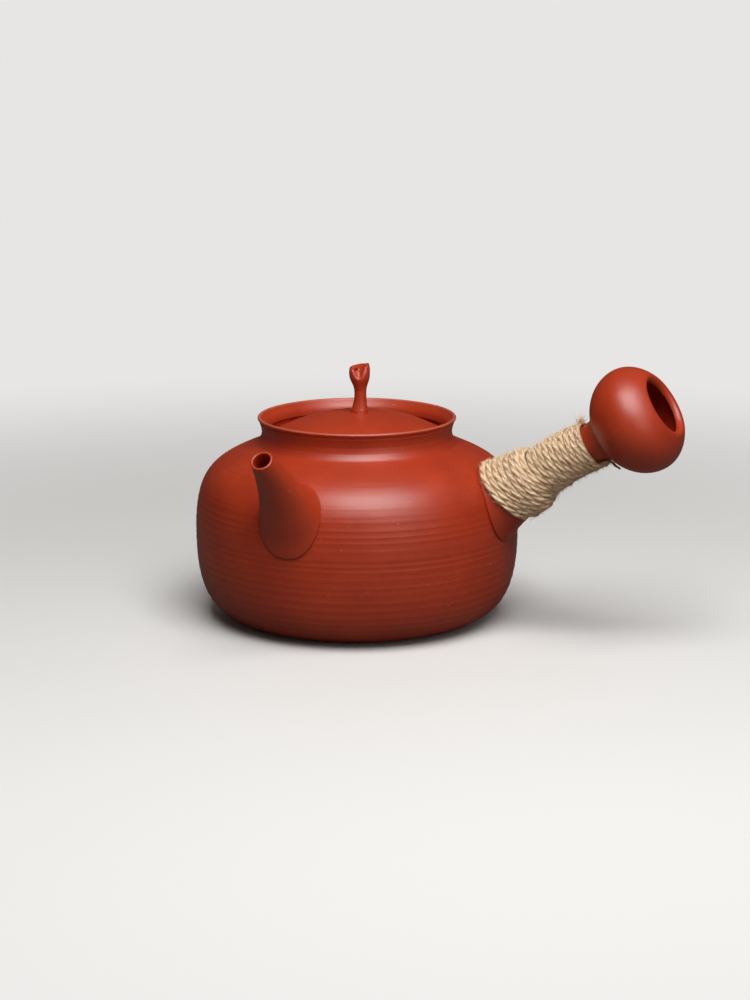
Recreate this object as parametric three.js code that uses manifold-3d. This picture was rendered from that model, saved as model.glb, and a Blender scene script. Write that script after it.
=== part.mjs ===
// A side-handle clay teapot. The pot is thrown on the wheel, with a flared
// collar and a ledge inside it for the lid. A spout is luted to its front and
// a hollow handle that ends in an open bulb is luted to its side, at a right
// angle to the spout. Twine is wound round the grip. The lid is loose and lies
// sunk inside the collar, with a locating ring below and a stalk knob on top.
//
// Millimetres, +Z up. The origin is the centre of the flat base, on the pot's
// axis. The spout points along -Y and the handle rises along +X.
import * as THREE from "three";
import { mergeVertices } from "three/addons/utils/BufferGeometryUtils.js";
import Module from "manifold-3d";

const wasm = await Module();
wasm.setup();
const degrees = THREE.MathUtils.degToRad;

// Clearances and allowances that several pieces share
const lutingGap = 0.3; // between two pieces of clay that are luted together
const overrun = 2; // how far a cutter runs past what it cuts

// The pot: a flat base, a full belly and a shoulder that runs into the neck
const baseRadius = 39.3;
const bellyRadius = 66;
const bellyHeight = 37;
const neckRadius = 40.8;
const neckHeight = 72.2;
const shoulderSlope = degrees(23);
const basePull = 22.3; // how far the base runs on flat before it turns up
const bellyPullDown = 23.7; // how far the girth holds its radius downwards
const bellyPullUp = 25.5; // and upwards
const shoulderPull = 18.4; // how far the shoulder's slope holds out from the neck
const potWall = 2.8;

// The collar, drawn in above the neck and flared at the rim
const rimRadius = 40.4;
const rimHeight = 82.9;
const collarDraw = 2.65;
const collarPullDown = 2.9;
const collarPullUp = 5.3;
const collarWall = 2.4;
const lipThickness = 1.5;

// The ledge that the lid lies on, and the mouth inside it
const ledgeDepth = 8.7; // from the rim down to the ledge
const ledgeHeight = rimHeight - ledgeDepth;
const ledgeThickness = 2.8;
const ledgeRounding = 0.7;
const mouthRadius = 31;

// The lid
const lidPlay = 2.1; // between the lid's edge and the collar, all round
const lidDrift = 1.2; // how far the loose lid lies off the middle, towards the handle
const lidSeatGap = 0.3; // between the lid and the ledge
const lidEdgeThickness = 2.4;
const lidCrown = 7.5; // how far the dome rises above the edge
const lidEdgePull = 8; // how far in from the edge the dome takes its slope
const lidCrownPull = 19; // how far out from the middle the dome lies flat
const lidWall = 2.8;

// The locating ring under the lid
const ringPlay = 1.6; // between the ring and the mouth, all round
const ringWall = 2.2;
const ringDepth = 6;
const ringTaper = 0.5;

// The knob, a stalk whose end opens like a cut stem
const knobHeight = 19.3;
const knobFootRadius = 3.5;
const knobStemRadius = 2.5;
const knobHeadRadius = 4.2;
const knobFootFlare = 5; // how high the foot's flare reaches
const knobHeadStart = 9.5; // where the stem starts to widen
const knobHeadWidest = 14.5;
const knobRimRadius = 4.05;
const knobRimDip = 3.8; // how much lower the rim is on its open side
const knobDipSharpness = 9; // a power: the higher, the narrower the dip
const knobRimSlant = 1.2; // how much the whole rim slants down besides
const knobCupFloor = 11.5; // how high the hollow's floor lies
const knobWall = 1;
const knobOpenSide = degrees(-70); // where the open side faces, about +Z
const knobLowSide = degrees(-136); // and the side that the rim slants down to

// The spout, between its underside and its back as seen from the side
const spoutMouthReach = 20.6; // the mouth's middle, out from the girth
const spoutMouthDrop = 2.1; // and down from the rim
const spoutMouthRadius = 4.4;
const spoutMouthLift = degrees(48); // how far up the mouth looks
const spoutFootHalfWidth = 15; // before it is trimmed to the belly
const spoutTaper = 1.28; // a power: the higher, the sooner the spout narrows
const spoutFootLow = 0.4; // the foot's lowest point, up from the girth's height
const spoutFootHigh = 29; // and its highest
const spoutSink = 10; // how deep the untrimmed foot runs into the belly
const spoutUnderLift = degrees(72); // how steeply the underside leaves the belly
const spoutUnderPull = 17; // and how far it holds that way
const spoutUnderTipPull = 22;
const spoutBackLift = degrees(-20); // and the back
const spoutBackPull = 4;
const spoutBackTipPull = 3;
const spoutLipWall = 1.05;
const spoutFootWall = 2.4;

// The pouring holes, pierced through the pot's wall behind the spout
const pourHoleRadius = 1.7;
const pourHoleCount = 8; // round one in the middle
const pourRingRadius = 6.4;

// The handle, thrown hollow, measured along its own axis from the belly outwards
const handleLift = degrees(32.2);
const handleRootRise = 18.2; // up from the girth's height to where the axis leaves the belly
const handleWall = 2.4;
const handleSink = 9; // how deep the untrimmed foot runs into the belly
const handleFootRadius = 17.5;
const handleFlareRadius = 12.3; // the radius that the foot's flare runs towards
const handleFlareLength = 3;
const rootRadius = 11.7;
const rootEnd = 13.5;
const gripStart = 22.5;
const gripRadius = 8.7;
const gripEnd = 44;
const gripEndRadius = 8.2;
const gripBow = 1.1; // how far the grip bows upwards between the root and the bulb
const bulbRadius = 21.5;
const bulbBack = 18; // half the bulb's length on the grip's side
const bulbFront = 15.3; // and on the open side, if it closed
const bulbMiddle = 66.5;
const bulbJoin = degrees(59); // how far round the bulb's back its fillet starts
const bulbHoleRadius = 10.9;
const bulbLipRoll = 3.1; // how far the hole's lip rolls in from the bulb's outside
const bulbLipPull = 1.9;
const bulbLipDepth = 2; // how far back the hole is narrowest

// The twine wound round the grip
const twineDiameter = 1.55;
const twineTurns = 18;
const twineLift = 0.3; // between the clay and the twine
const twineStart = 3.6; // the middle of the first turn, out from the belly
const twineEnd = 45.3; // and of the last
const twineStartLean = -3.6; // how far a turn's upper side leans out at the start
const twineEndLean = -0.2; // and at the end
const twineStartSide = degrees(200); // where round the grip the winding starts

// Mesh fineness: counts and fractions of a curve
const potSegments = 48;
const handleSegments = 28;
const spoutSegments = 24;
const knobSegments = 20;
const loopSteps = 24;
const twineSides = 6;

const redClay = { color: 0xa8402a, roughness: 0.55, metalness: 0 };
const paleTwine = { color: 0xc9a878, roughness: 0.95, metalness: 0 };

const at = (radius, height) => new THREE.Vector2(radius, height);
const lerp = THREE.MathUtils.lerp;

// A closed geometry as a solid that can be cut and joined
function solidOf(geometry) {
  const bare = geometry.clone();
  bare.deleteAttribute("normal");
  bare.deleteAttribute("uv");
  const merged = mergeVertices(bare);
  const corners = merged.index.array;
  const triangles = [];
  for (let i = 0; i < corners.length; i += 3) {
    const [a, b, c] = corners.slice(i, i + 3);
    if (a !== b && b !== c && c !== a) triangles.push(a, b, c);
  }
  const vertProperties = merged.attributes.position.array;
  const triVerts = new Uint32Array(triangles);
  return new wasm.Manifold(new wasm.Mesh({ numProp: 3, vertProperties, triVerts }));
}

// And a solid as a geometry again
function geometryOf(solid) {
  const mesh = solid.getMesh();
  const geometry = new THREE.BufferGeometry();
  geometry.setAttribute("position", new THREE.BufferAttribute(mesh.vertProperties, 3));
  geometry.setIndex(new THREE.BufferAttribute(mesh.triVerts, 1));
  geometry.computeVertexNormals();
  return geometry;
}

function piece(name, geometry, look) {
  const mesh = new THREE.Mesh(geometry, new THREE.MeshStandardMaterial(look));
  mesh.name = name;
  return mesh;
}

// A solid of revolution about +Z, from an outline in (radius, height)
function thrown(outline, segments = potSegments) {
  return new THREE.LatheGeometry(outline, segments).rotateX(Math.PI / 2);
}

// Points of an outline curve, moved outwards by grow
function traced(curve, steps, grow = 0, from = 0, to = 1) {
  const points = [];
  for (let i = 0; i <= steps; i++) {
    const t = lerp(from, to, i / steps);
    const along = curve.getTangent(t);
    points.push(curve.getPoint(t).add(at(along.y, -along.x).multiplyScalar(grow)));
  }
  return points;
}

// The round edge between the last point of an outside and the first of an inside
function roundEdge(outer, inner, steps = 3) {
  const middle = outer.clone().lerp(inner, 1 / 2);
  const points = [];
  for (let i = 1; i < steps; i++)
    points.push(outer.clone().rotateAround(middle, (Math.PI * i) / steps));
  return points;
}

// A ring of points about a centre, from its two half axes
function ringOf(centre, halfU, halfV, segments) {
  const points = [];
  for (let j = 0; j < segments; j++) {
    const angle = (2 * Math.PI * j) / segments;
    const point = centre.clone().addScaledVector(halfU, Math.cos(angle));
    points.push(point.addScaledVector(halfV, Math.sin(angle)));
  }
  return points;
}

// A skin over a row of rings that have equally many points. A looped row joins
// its last ring to its first, as a pipe's outside and bore do. Any other row is
// capped at both ends.
function skinned(rings, looped) {
  const count = rings[0].length;
  const positions = rings.flat().flatMap((point) => point.toArray());
  const index = [];
  const bands = looped ? rings.length : rings.length - 1;
  for (let i = 0; i < bands; i++)
    for (let j = 0; j < count; j++) {
      const next = ((i + 1) % rings.length) * count;
      const a = i * count + j;
      const b = i * count + ((j + 1) % count);
      const c = next + ((j + 1) % count);
      const d = next + j;
      index.push(a, b, c, a, c, d);
    }
  const cap = (ring, flip) => {
    const middle = new THREE.Vector3();
    for (const point of rings[ring]) middle.addScaledVector(point, 1 / count);
    const hub = positions.length / 3;
    positions.push(...middle.toArray());
    for (let j = 0; j < count; j++) {
      const a = ring * count + j;
      const b = ring * count + ((j + 1) % count);
      index.push(...(flip ? [b, a, hub] : [a, b, hub]));
    }
  };
  if (!looped) {
    cap(0, true);
    cap(rings.length - 1, false);
  }
  const geometry = new THREE.BufferGeometry();
  geometry.setAttribute("position", new THREE.Float32BufferAttribute(positions, 3));
  geometry.setIndex(index);
  geometry.computeVertexNormals();
  return geometry;
}

// The pot's outline, from the base to the neck and on to the rim
const underCurve = new THREE.CubicBezierCurve(
  at(baseRadius, 0),
  at(baseRadius + basePull, 0),
  at(bellyRadius, bellyHeight - bellyPullDown),
  at(bellyRadius, bellyHeight),
);
const shoulderCurve = new THREE.CubicBezierCurve(
  at(bellyRadius, bellyHeight),
  at(bellyRadius, bellyHeight + bellyPullUp),
  at(
    neckRadius + shoulderPull * Math.cos(shoulderSlope),
    neckHeight - shoulderPull * Math.sin(shoulderSlope),
  ),
  at(neckRadius, neckHeight),
);
const lipHeight = rimHeight - lipThickness / 2;
const collarCurve = new THREE.CubicBezierCurve(
  at(neckRadius, neckHeight),
  at(neckRadius - collarDraw, neckHeight + collarPullDown),
  at(neckRadius - collarDraw, rimHeight - collarPullUp),
  at(rimRadius, lipHeight),
);
const galleryRadius = collarCurve.getPoint(1 / 2).x - collarWall;

// The pot's shell, with its ledge and its pouring holes
function pot() {
  const outside = [
    at(0, 0),
    ...traced(underCurve, 9),
    ...traced(shoulderCurve, 10).slice(1),
    ...traced(collarCurve, 6).slice(1),
  ];
  const collarInside = new THREE.CubicBezierCurve(
    at(rimRadius - lipThickness, lipHeight),
    at(galleryRadius, lipHeight - collarPullUp / 2),
    at(galleryRadius, ledgeHeight + collarPullUp),
    at(galleryRadius, ledgeHeight),
  );
  const inside = [
    ...traced(collarInside, 3),
    at(mouthRadius + ledgeRounding, ledgeHeight),
    at(mouthRadius, ledgeHeight - ledgeRounding),
    at(mouthRadius, ledgeHeight - ledgeThickness),
    ...traced(shoulderCurve, 7, -potWall, 1, 0),
    ...traced(underCurve, 6, -potWall, 1, 0).slice(1),
    at(0, potWall),
  ];
  const lip = roundEdge(outside.at(-1), inside[0]);
  const shell = solidOf(thrown([...outside, ...lip, ...inside]));
  return piece("pot_body", geometryOf(pierced(shell)), redClay);
}

// The pot's outer form without its hollow, which trims what is luted to it
function bellyForm(grow) {
  const outline = [
    at(0, -grow),
    ...traced(underCurve, 9, grow),
    ...traced(shoulderCurve, 10, grow).slice(1),
    at(0, neckHeight + grow),
  ];
  return solidOf(thrown(outline));
}

// The point of the shoulder's outline at a height, and the way out from it
function shoulderAt(height) {
  let low = 0;
  let high = 1;
  while (high - low > Number.EPSILON) {
    const middle = (low + high) / 2;
    if (shoulderCurve.getPoint(middle).y < height) low = middle;
    else high = middle;
  }
  const along = shoulderCurve.getTangent(low);
  return { point: shoulderCurve.getPoint(low), out: at(along.y, -along.x) };
}

// One hole in the middle of the spout's foot and a ring of holes round it
function pierced(shell) {
  const height = bellyHeight + (spoutFootLow + spoutFootHigh) / 2;
  const { point, out } = shoulderAt(height);
  const tilt = new THREE.Matrix4().makeRotationX(-Math.atan2(out.y, out.x));
  const place = new THREE.Matrix4().makeTranslation(0, -point.x, point.y).multiply(tilt);
  const length = 2 * (potWall + overrun);
  const drill = new THREE.CylinderGeometry(pourHoleRadius, pourHoleRadius, length, 12);
  const spots = [at(0, 0)];
  for (let i = 0; i < pourHoleCount; i++)
    spots.push(at(pourRingRadius, 0).rotateAround(at(0, 0), (2 * Math.PI * i) / pourHoleCount));
  let cut = shell;
  for (const spot of spots)
    cut = cut.subtract(solidOf(drill.clone().translate(spot.x, 0, spot.y).applyMatrix4(place)));
  return cut;
}

// The spout, a tapering pipe between two curves in the plane of the pot's axis
function spout() {
  const mouth = at(bellyRadius + spoutMouthReach, rimHeight - spoutMouthDrop);
  const heading = (lift, length) => at(Math.cos(lift), Math.sin(lift)).multiplyScalar(length);
  const tipLow = heading(spoutMouthLift - Math.PI / 2, spoutMouthRadius).add(mouth);
  const tipHigh = heading(spoutMouthLift + Math.PI / 2, spoutMouthRadius).add(mouth);
  const footLow = shoulderAt(bellyHeight + spoutFootLow).point;
  const footHigh = shoulderAt(bellyHeight + spoutFootHigh).point;
  const under = new THREE.CubicBezierCurve(
    footLow,
    heading(spoutUnderLift, spoutUnderPull).add(footLow),
    heading(spoutMouthLift, -spoutUnderTipPull).add(tipLow),
    tipLow,
  );
  const back = new THREE.CubicBezierCurve(
    footHigh,
    heading(spoutBackLift, spoutBackPull).add(footHigh),
    heading(spoutMouthLift, -spoutBackTipPull).add(tipHigh),
    tipHigh,
  );
  const steps = 12;
  const pipe = (footWall, lipWall) => {
    const rings = [];
    for (let i = -1; i <= steps; i++) {
      const t = Math.max(i, 0) / steps;
      const sunk = at(i < 0 ? -spoutSink : 0, 0);
      const low = under.getPoint(t).add(sunk);
      const high = back.getPoint(t).add(sunk);
      const middle = low.clone().lerp(high, 1 / 2);
      const wall = lerp(footWall, lipWall, t);
      const rise = high.clone().sub(middle);
      rise.setLength(rise.length() - wall);
      const narrowing = (1 - t) ** spoutTaper;
      const halfWidth = lerp(spoutMouthRadius, spoutFootHalfWidth, narrowing) - wall;
      const centre = new THREE.Vector3(0, -middle.x, middle.y);
      const across = new THREE.Vector3(halfWidth, 0, 0);
      rings.push(ringOf(centre, across, new THREE.Vector3(0, -rise.x, rise.y), spoutSegments));
    }
    return rings;
  };
  const outside = pipe(0, 0);
  const bore = pipe(spoutFootWall, spoutLipWall).reverse();
  const raw = solidOf(skinned([...outside, ...bore], true));
  return piece("spout", geometryOf(raw.subtract(bellyForm(lutingGap))), redClay);
}

// The handle's outline, in (radius, length along the handle), stretch by
// stretch with a count of steps for each: the flared foot and the root, the
// step down to the grip, the grip, the fillet, and the bulb's two sides
const joinRadius = bulbRadius * Math.cos(bulbJoin);
const joinLength = bulbMiddle - bulbBack * Math.sin(bulbJoin);
const joinSlope = (bulbRadius * Math.tan(bulbJoin)) / bulbBack;
const lipTurn = Math.acos((bulbHoleRadius + bulbLipRoll) / bulbRadius);
const stepPull = (gripStart - rootEnd) / 2;
const handleStretches = [
  [
    new THREE.QuadraticBezierCurve(
      at(handleFootRadius, -handleSink),
      at(handleFlareRadius, handleFlareLength),
      at(rootRadius, rootEnd),
    ),
    5,
  ],
  [
    new THREE.CubicBezierCurve(
      at(rootRadius, rootEnd),
      at(rootRadius, rootEnd + stepPull),
      at(gripRadius, gripStart - stepPull),
      at(gripRadius, gripStart),
    ),
    5,
  ],
  [new THREE.LineCurve(at(gripRadius, gripStart), at(gripEndRadius, gripEnd)), 5],
  [
    new THREE.QuadraticBezierCurve(
      at(gripEndRadius, gripEnd),
      at(gripEndRadius, joinLength - (joinRadius - gripEndRadius) / joinSlope),
      at(joinRadius, joinLength),
    ),
    3,
  ],
  [new THREE.EllipseCurve(0, bulbMiddle, bulbRadius, bulbBack, -bulbJoin, 0), 6],
  [new THREE.EllipseCurve(0, bulbMiddle, bulbRadius, bulbFront, 0, lipTurn), 4],
];
const bulbEnd = handleStretches.at(-1)[0];
const bulbLip = new THREE.CubicBezierCurve(
  bulbEnd.getPoint(1),
  bulbEnd.getPoint(1).addScaledVector(bulbEnd.getTangent(1), bulbLipPull),
  bulbEnd.getPoint(1).add(at(-bulbLipRoll, bulbLipPull - bulbLipDepth)),
  bulbEnd.getPoint(1).add(at(-bulbLipRoll, -bulbLipDepth)),
);
const handleOutline = (grow) =>
  handleStretches.flatMap(([curve, steps], i) => traced(curve, steps, grow).slice(i ? 1 : 0));

// From the handle's own axis, +Z, to its place on the pot
const handleRoot = shoulderAt(bellyHeight + handleRootRise).point;
const handlePlace = new THREE.Matrix4()
  .makeTranslation(handleRoot.x, 0, handleRoot.y)
  .multiply(new THREE.Matrix4().makeRotationY(Math.PI / 2 - handleLift));

// How far the handle is bowed upwards at a length along it. Its own -X side is
// its upper side once it is in place.
function bowAt(length) {
  const share = (length - rootEnd) / (joinLength - rootEnd);
  return share > 0 && share < 1 ? gripBow * Math.sin(Math.PI * share) ** 2 : 0;
}

function handle() {
  const outside = handleOutline(0);
  const inside = handleOutline(-handleWall).reverse();
  const outline = [...outside, ...traced(bulbLip, 4).slice(1), ...inside.slice(1), outside[0]];
  const bowed = thrown(outline, handleSegments);
  const corners = bowed.attributes.position;
  for (let i = 0; i < corners.count; i++) corners.setX(i, corners.getX(i) - bowAt(corners.getZ(i)));
  const raw = solidOf(bowed.applyMatrix4(handlePlace));
  return piece("handle", geometryOf(raw.subtract(bellyForm(lutingGap))), redClay);
}

// The clay's radius under the twine at a length along the handle, and how much
// further from the axis a layer lies where the clay slopes
function clayUnder(length) {
  const points = handleOutline(0);
  const next = points.findIndex((point) => point.y > length);
  const [a, b] = points.slice(next - 1, next + 1);
  const radius = lerp(a.x, b.x, (length - a.y) / (b.y - a.y));
  return { radius, slant: b.distanceTo(a) / (b.y - a.y) };
}

// The twine, one unbroken tube. Its turns lean with the belly at the root, and
// stand square to the grip at the bulb.
function twine() {
  const centres = [];
  for (let i = 0; i <= twineTurns * loopSteps; i++) {
    const share = i / (twineTurns * loopSteps);
    const angle = twineStartSide + (2 * Math.PI * i) / loopSteps;
    const lean = lerp(twineStartLean, twineEndLean, share) * Math.cos(angle);
    const length = lerp(twineStart, twineEnd, share) + lean;
    const { radius, slant } = clayUnder(length);
    const reach = radius + (twineLift + twineDiameter / 2) * slant;
    const rise = reach * Math.cos(angle) + bowAt(length);
    centres.push(new THREE.Vector3(-rise, reach * Math.sin(angle), length));
  }
  const straightEnd = (end, inner) =>
    end.clone().add(end.clone().sub(inner).setLength(twineDiameter));
  centres.unshift(straightEnd(centres[0], centres[1]));
  centres.push(straightEnd(centres.at(-1), centres.at(-2)));
  console.log(`The twine's least gap to itself is ${leastGap(centres).toFixed(2)} mm`);
  const rings = centres.map((centre, i) => {
    const before = centres[Math.max(i - 1, 0)];
    const after = centres[Math.min(i + 1, centres.length - 1)];
    const along = after.clone().sub(before).normalize();
    const out = new THREE.Vector3(centre.x + bowAt(centre.z), centre.y, 0);
    out.addScaledVector(along, -out.dot(along)).setLength(twineDiameter / 2);
    const side = along.clone().cross(out);
    return ringOf(centre, out, side, twineSides);
  });
  return piece("twine_wrap", skinned(rings, false).applyMatrix4(handlePlace), paleTwine);
}

// The least clear distance between stretches of the twine that lie in different turns
function leastGap(centres) {
  let least = Infinity;
  for (let i = 0; i < centres.length; i++)
    for (let j = i + loopSteps / 2; j < centres.length; j++)
      least = Math.min(least, centres[i].distanceTo(centres[j]));
  return least - twineDiameter;
}

// The lid, from the ledge up
const lidRadius = galleryRadius - lidPlay;
const lidUnderside = ledgeHeight + lidSeatGap;
const lidEdgeTop = lidUnderside + lidEdgeThickness;
const crownHeight = lidEdgeTop + lidCrown;
const ringRadius = mouthRadius - ringPlay;

function lid() {
  const edgeMiddle = lidRadius - lidEdgeThickness / 2;
  const edgeLow = at(edgeMiddle, lidUnderside);
  const edgeHigh = at(edgeMiddle, lidEdgeTop);
  const dome = new THREE.CubicBezierCurve(
    edgeHigh,
    at(edgeMiddle - lidEdgePull, lidEdgeTop + lidCrown / 2),
    at(lidCrownPull, crownHeight),
    at(0, crownHeight),
  );
  const hollowRadius = ringRadius - ringWall;
  const hollow = new THREE.QuadraticBezierCurve(
    at(0, crownHeight - lidWall),
    at(hollowRadius / 2, crownHeight - lidWall),
    at(hollowRadius, lidUnderside),
  );
  const outline = [...traced(hollow, 5), edgeLow, ...roundEdge(edgeLow, edgeHigh), ...traced(dome, 8)];
  return piece("lid", thrown(outline), redClay);
}

// The locating ring, which keeps the lid over the mouth
function lidRing() {
  const top = lidUnderside - lutingGap;
  const bottom = top - ringDepth;
  const outline = [
    at(ringRadius - ringTaper, bottom),
    at(ringRadius, top),
    at(ringRadius - ringWall, top),
    at(ringRadius - ringWall, bottom),
    at(ringRadius - ringTaper, bottom),
  ];
  return piece("lid_ring", thrown(outline), redClay);
}

// How far the knob's rim lies below its height at an angle about +Z
function rimDrop(angle) {
  const nearness = (side) => (1 + Math.cos(angle - side)) / 2;
  const dip = knobRimDip * nearness(knobOpenSide) ** knobDipSharpness;
  return dip + knobRimSlant * nearness(knobLowSide);
}

// The knob: rings up the stalk and the head, over a rim that dips on its open
// side, and down into the hollow. Each level has its radius, its height and its
// share of the rim's drop.
function knob() {
  const foot = crownHeight + lutingGap;
  const rim = knobHeight - knobWall / 2;
  const levels = [
    [knobFootRadius, 0, 0],
    [knobFootRadius, knobWall / 2, 0],
    [lerp(knobFootRadius, knobStemRadius, 0.7), knobFootFlare / 2, 0],
    [knobStemRadius, knobFootFlare, 0],
    [knobStemRadius, knobHeadStart, 0],
    [lerp(knobStemRadius, knobHeadRadius, 0.5), lerp(knobHeadStart, knobHeadWidest, 0.5), 1 / 8],
    [knobHeadRadius, knobHeadWidest, 1 / 3],
    [knobRimRadius, rim, 1],
    [knobRimRadius - knobWall / 2, knobHeight, 1],
    [knobRimRadius - knobWall, rim, 1],
    [knobHeadRadius - knobWall, knobHeadWidest, 1 / 3],
    [knobStemRadius - knobWall, knobCupFloor, 0],
  ];
  const rings = levels.map(([radius, height, dropShare]) => {
    const centre = new THREE.Vector3(0, 0, foot + height);
    const ring = ringOf(
      centre,
      new THREE.Vector3(radius, 0, 0),
      new THREE.Vector3(0, radius, 0),
      knobSegments,
    );
    for (const point of ring) point.z -= dropShare * rimDrop(Math.atan2(point.y, point.x));
    return ring;
  });
  return piece("lid_knob", skinned(rings, false), redClay);
}

const teapot = new THREE.Group();
const lidGroup = new THREE.Group();
lidGroup.add(lid(), lidRing(), knob());
lidGroup.position.x = lidDrift;
teapot.add(pot(), spout(), handle(), twine(), lidGroup);

export default teapot;
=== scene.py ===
# %% [markdown]
# # A side-handle clay teapot
#
# This file dresses a finished CAD model of a small red clay teapot. The pot is
# thrown on the wheel, the spout and a hollow handle are luted to it, twine is
# wound round the grip, and a loose lid lies sunk inside the collar. The CAD
# solids are plain and faceted. Here each clay piece gets its fine surface, the
# twine gets its two twisted strands, and everything gets a finish.
#
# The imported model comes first. It is a fixed frame: every piece made below is
# put where its CAD solid lies, and rides on that solid's body.

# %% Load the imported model
import math
import random

import bpy
import numpy as np
from mathutils import Matrix, Vector


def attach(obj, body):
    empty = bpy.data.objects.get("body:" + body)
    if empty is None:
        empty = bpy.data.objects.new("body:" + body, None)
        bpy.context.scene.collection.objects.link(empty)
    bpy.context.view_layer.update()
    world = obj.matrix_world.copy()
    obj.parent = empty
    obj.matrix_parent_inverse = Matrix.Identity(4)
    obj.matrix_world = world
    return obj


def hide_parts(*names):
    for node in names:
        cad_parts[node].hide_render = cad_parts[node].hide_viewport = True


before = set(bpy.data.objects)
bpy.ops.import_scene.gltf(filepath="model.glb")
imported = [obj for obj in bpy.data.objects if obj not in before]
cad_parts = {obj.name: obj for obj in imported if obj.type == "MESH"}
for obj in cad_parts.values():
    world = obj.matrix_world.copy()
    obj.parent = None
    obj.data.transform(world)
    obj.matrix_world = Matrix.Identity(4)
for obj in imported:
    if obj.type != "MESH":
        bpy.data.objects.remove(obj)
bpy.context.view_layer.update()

# %% [markdown]
# ## The camera
#
# The picture was taken with a moderate telephoto lens from a little above the
# rim. The camera is put back where it stood: it turns about the middle of the
# rim, which lies a little left of and above the picture's centre. All sizes in
# this file are written in millimetres, as on a workshop drawing, and MM turns
# them into Blender's metres.

# %% The camera
MM = 0.001
PICTURE_WIDTH, PICTURE_HEIGHT = 750, 1000
SENSOR = 36.0
LENS = 85.0
TURN, TILT = math.radians(24), math.radians(12.88)
CAMERA_DISTANCE = 960.6
RIM_MIDDLE = Vector((0, 0, 82.9))
RIM_PIXEL = (356.9, 415.2)

forward = Vector((-math.sin(TURN) * math.cos(TILT), math.cos(TURN) * math.cos(TILT), -math.sin(TILT)))
right = Vector((math.cos(TURN), math.sin(TURN), 0))
upward = right.cross(forward)
pixels_per_slope = LENS / SENSOR * PICTURE_HEIGHT
aside = (RIM_PIXEL[0] - PICTURE_WIDTH / 2) / pixels_per_slope
above = (PICTURE_HEIGHT / 2 - RIM_PIXEL[1]) / pixels_per_slope
stand = RIM_MIDDLE - (forward + right * aside + upward * above) * CAMERA_DISTANCE

lens = bpy.data.cameras.new("camera")
lens.sensor_fit, lens.sensor_height, lens.lens = "VERTICAL", SENSOR, LENS
lens.clip_start = 0.01
camera = bpy.data.objects.new("camera", lens)
camera.location = stand * MM
camera.rotation_euler = (math.pi / 2 - TILT, 0, TURN)
scene = bpy.context.scene
scene.collection.objects.link(camera)
scene.camera = camera
scene.view_settings.view_transform = "Standard"
print("camera stands at", [round(c, 3) for c in camera.location])

# %% [markdown]
# ## Building with nodes
#
# The sky, the floor and the finishes are all made of shader nodes. They are drawn
# by hand in Blender's node editor. In a script a few short functions do the same:
# each adds one node, links what feeds it, and hands back its result.

# %% Small tools for nodes


def add(tree, kind, inputs=None, **settings):
    """A new node. inputs are numbers, colours or the sockets that feed them."""
    node = tree.nodes.new(kind)
    for name, value in settings.items():
        setattr(node, name, value)
    for name, value in (inputs or {}).items():
        if isinstance(value, bpy.types.NodeSocket):
            tree.links.new(value, node.inputs[name])
        else:
            node.inputs[name].default_value = value
    return node


def sum_up(tree, operation, *values):
    """The result of a Math node."""
    return add(tree, "ShaderNodeMath", dict(enumerate(values)), operation=operation).outputs[0]


def spread(tree, value, low, high, to_low=0.0, to_high=1.0, **settings):
    """A value's range from low to high, spread over another range."""
    ranges = {"From Min": low, "From Max": high, "To Min": to_low, "To Max": to_high}
    return add(tree, "ShaderNodeMapRange", {"Value": value, **ranges}, **settings).outputs["Result"]


def blend(tree, share, first, second):
    """A colour between two."""
    # A Mix node has one set of sockets for each kind of value, and these are the colours'
    return add(tree, "ShaderNodeMix", {0: share, 6: first, 7: second}, data_type="RGBA").outputs[2]


def new_finish(name):
    """A new material, its nodes and its shader."""
    material = bpy.data.materials.new(name)
    material.use_nodes = True
    tree = material.node_tree
    return material, tree, tree.nodes["Principled BSDF"]


# %% [markdown]
# ## The studio
#
# A pot like this is best shown on a pale floor under one broad soft lamp. The
# main lamp hangs high and a little to the front: it draws a soft highlight on the
# shoulder and on the bulb and lets the lower belly fall into shade. A weaker lamp
# in front carries the highlight down the belly, and a faint one behind lifts the
# far side out of the dark without putting a sheen on it.

# %% Lamps
LAMPS_AIM = Vector((0.02, 0, 0.05))


def lamp(name, azimuth, elevation, distance, size, watts):
    """A square soft lamp that looks at the pot. Azimuth 0 is the camera's side."""
    light = bpy.data.lights.new(name, "AREA")
    light.shape, light.size, light.energy = "SQUARE", size, watts
    holder = bpy.data.objects.new(name, light)
    turn, lift = TURN + math.radians(azimuth) - math.pi / 2, math.radians(elevation)
    way = Vector((math.cos(turn) * math.cos(lift), math.sin(turn) * math.cos(lift), math.sin(lift)))
    holder.location = LAMPS_AIM + way * distance
    holder.rotation_euler = (-way).to_track_quat("-Z", "Y").to_euler()
    scene.collection.objects.link(holder)
    return holder


lamp("main_lamp", azimuth=12, elevation=61, distance=0.95, size=0.74, watts=11)
lamp("front_lamp", azimuth=30, elevation=23, distance=1.6, size=1.0, watts=3.2)
back_lamp = lamp("back_lamp", azimuth=195, elevation=38, distance=1.7, size=1.0, watts=1.4)
back_lamp.visible_glossy = False

# %% [markdown]
# The camera sees a pale grey backdrop, but the pot must not be lit by all of it,
# or its shades would go flat. The Light Path node tells a ray from the camera
# from every other ray, so the sky and the floor can be pale to the eye and darker
# and warmer to the pot. Far from the pot the floor fades into the backdrop.

# %% Sky and floor
BACKDROP = (0.8, 0.79, 0.78, 1)
ROOM_COLOUR, ROOM_LIGHT = (1, 0.93, 0.84, 1), 0.06
FLOOR_SEEN, FLOOR_FELT, FLOOR_ROUGHNESS = (0.8, 0.79, 0.77, 1), (0.14, 0.12, 0.1, 1), 0.8
FADE_FROM, FADE_TO = 0.15, 0.6
FLOOR_SIZE = 80

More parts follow.
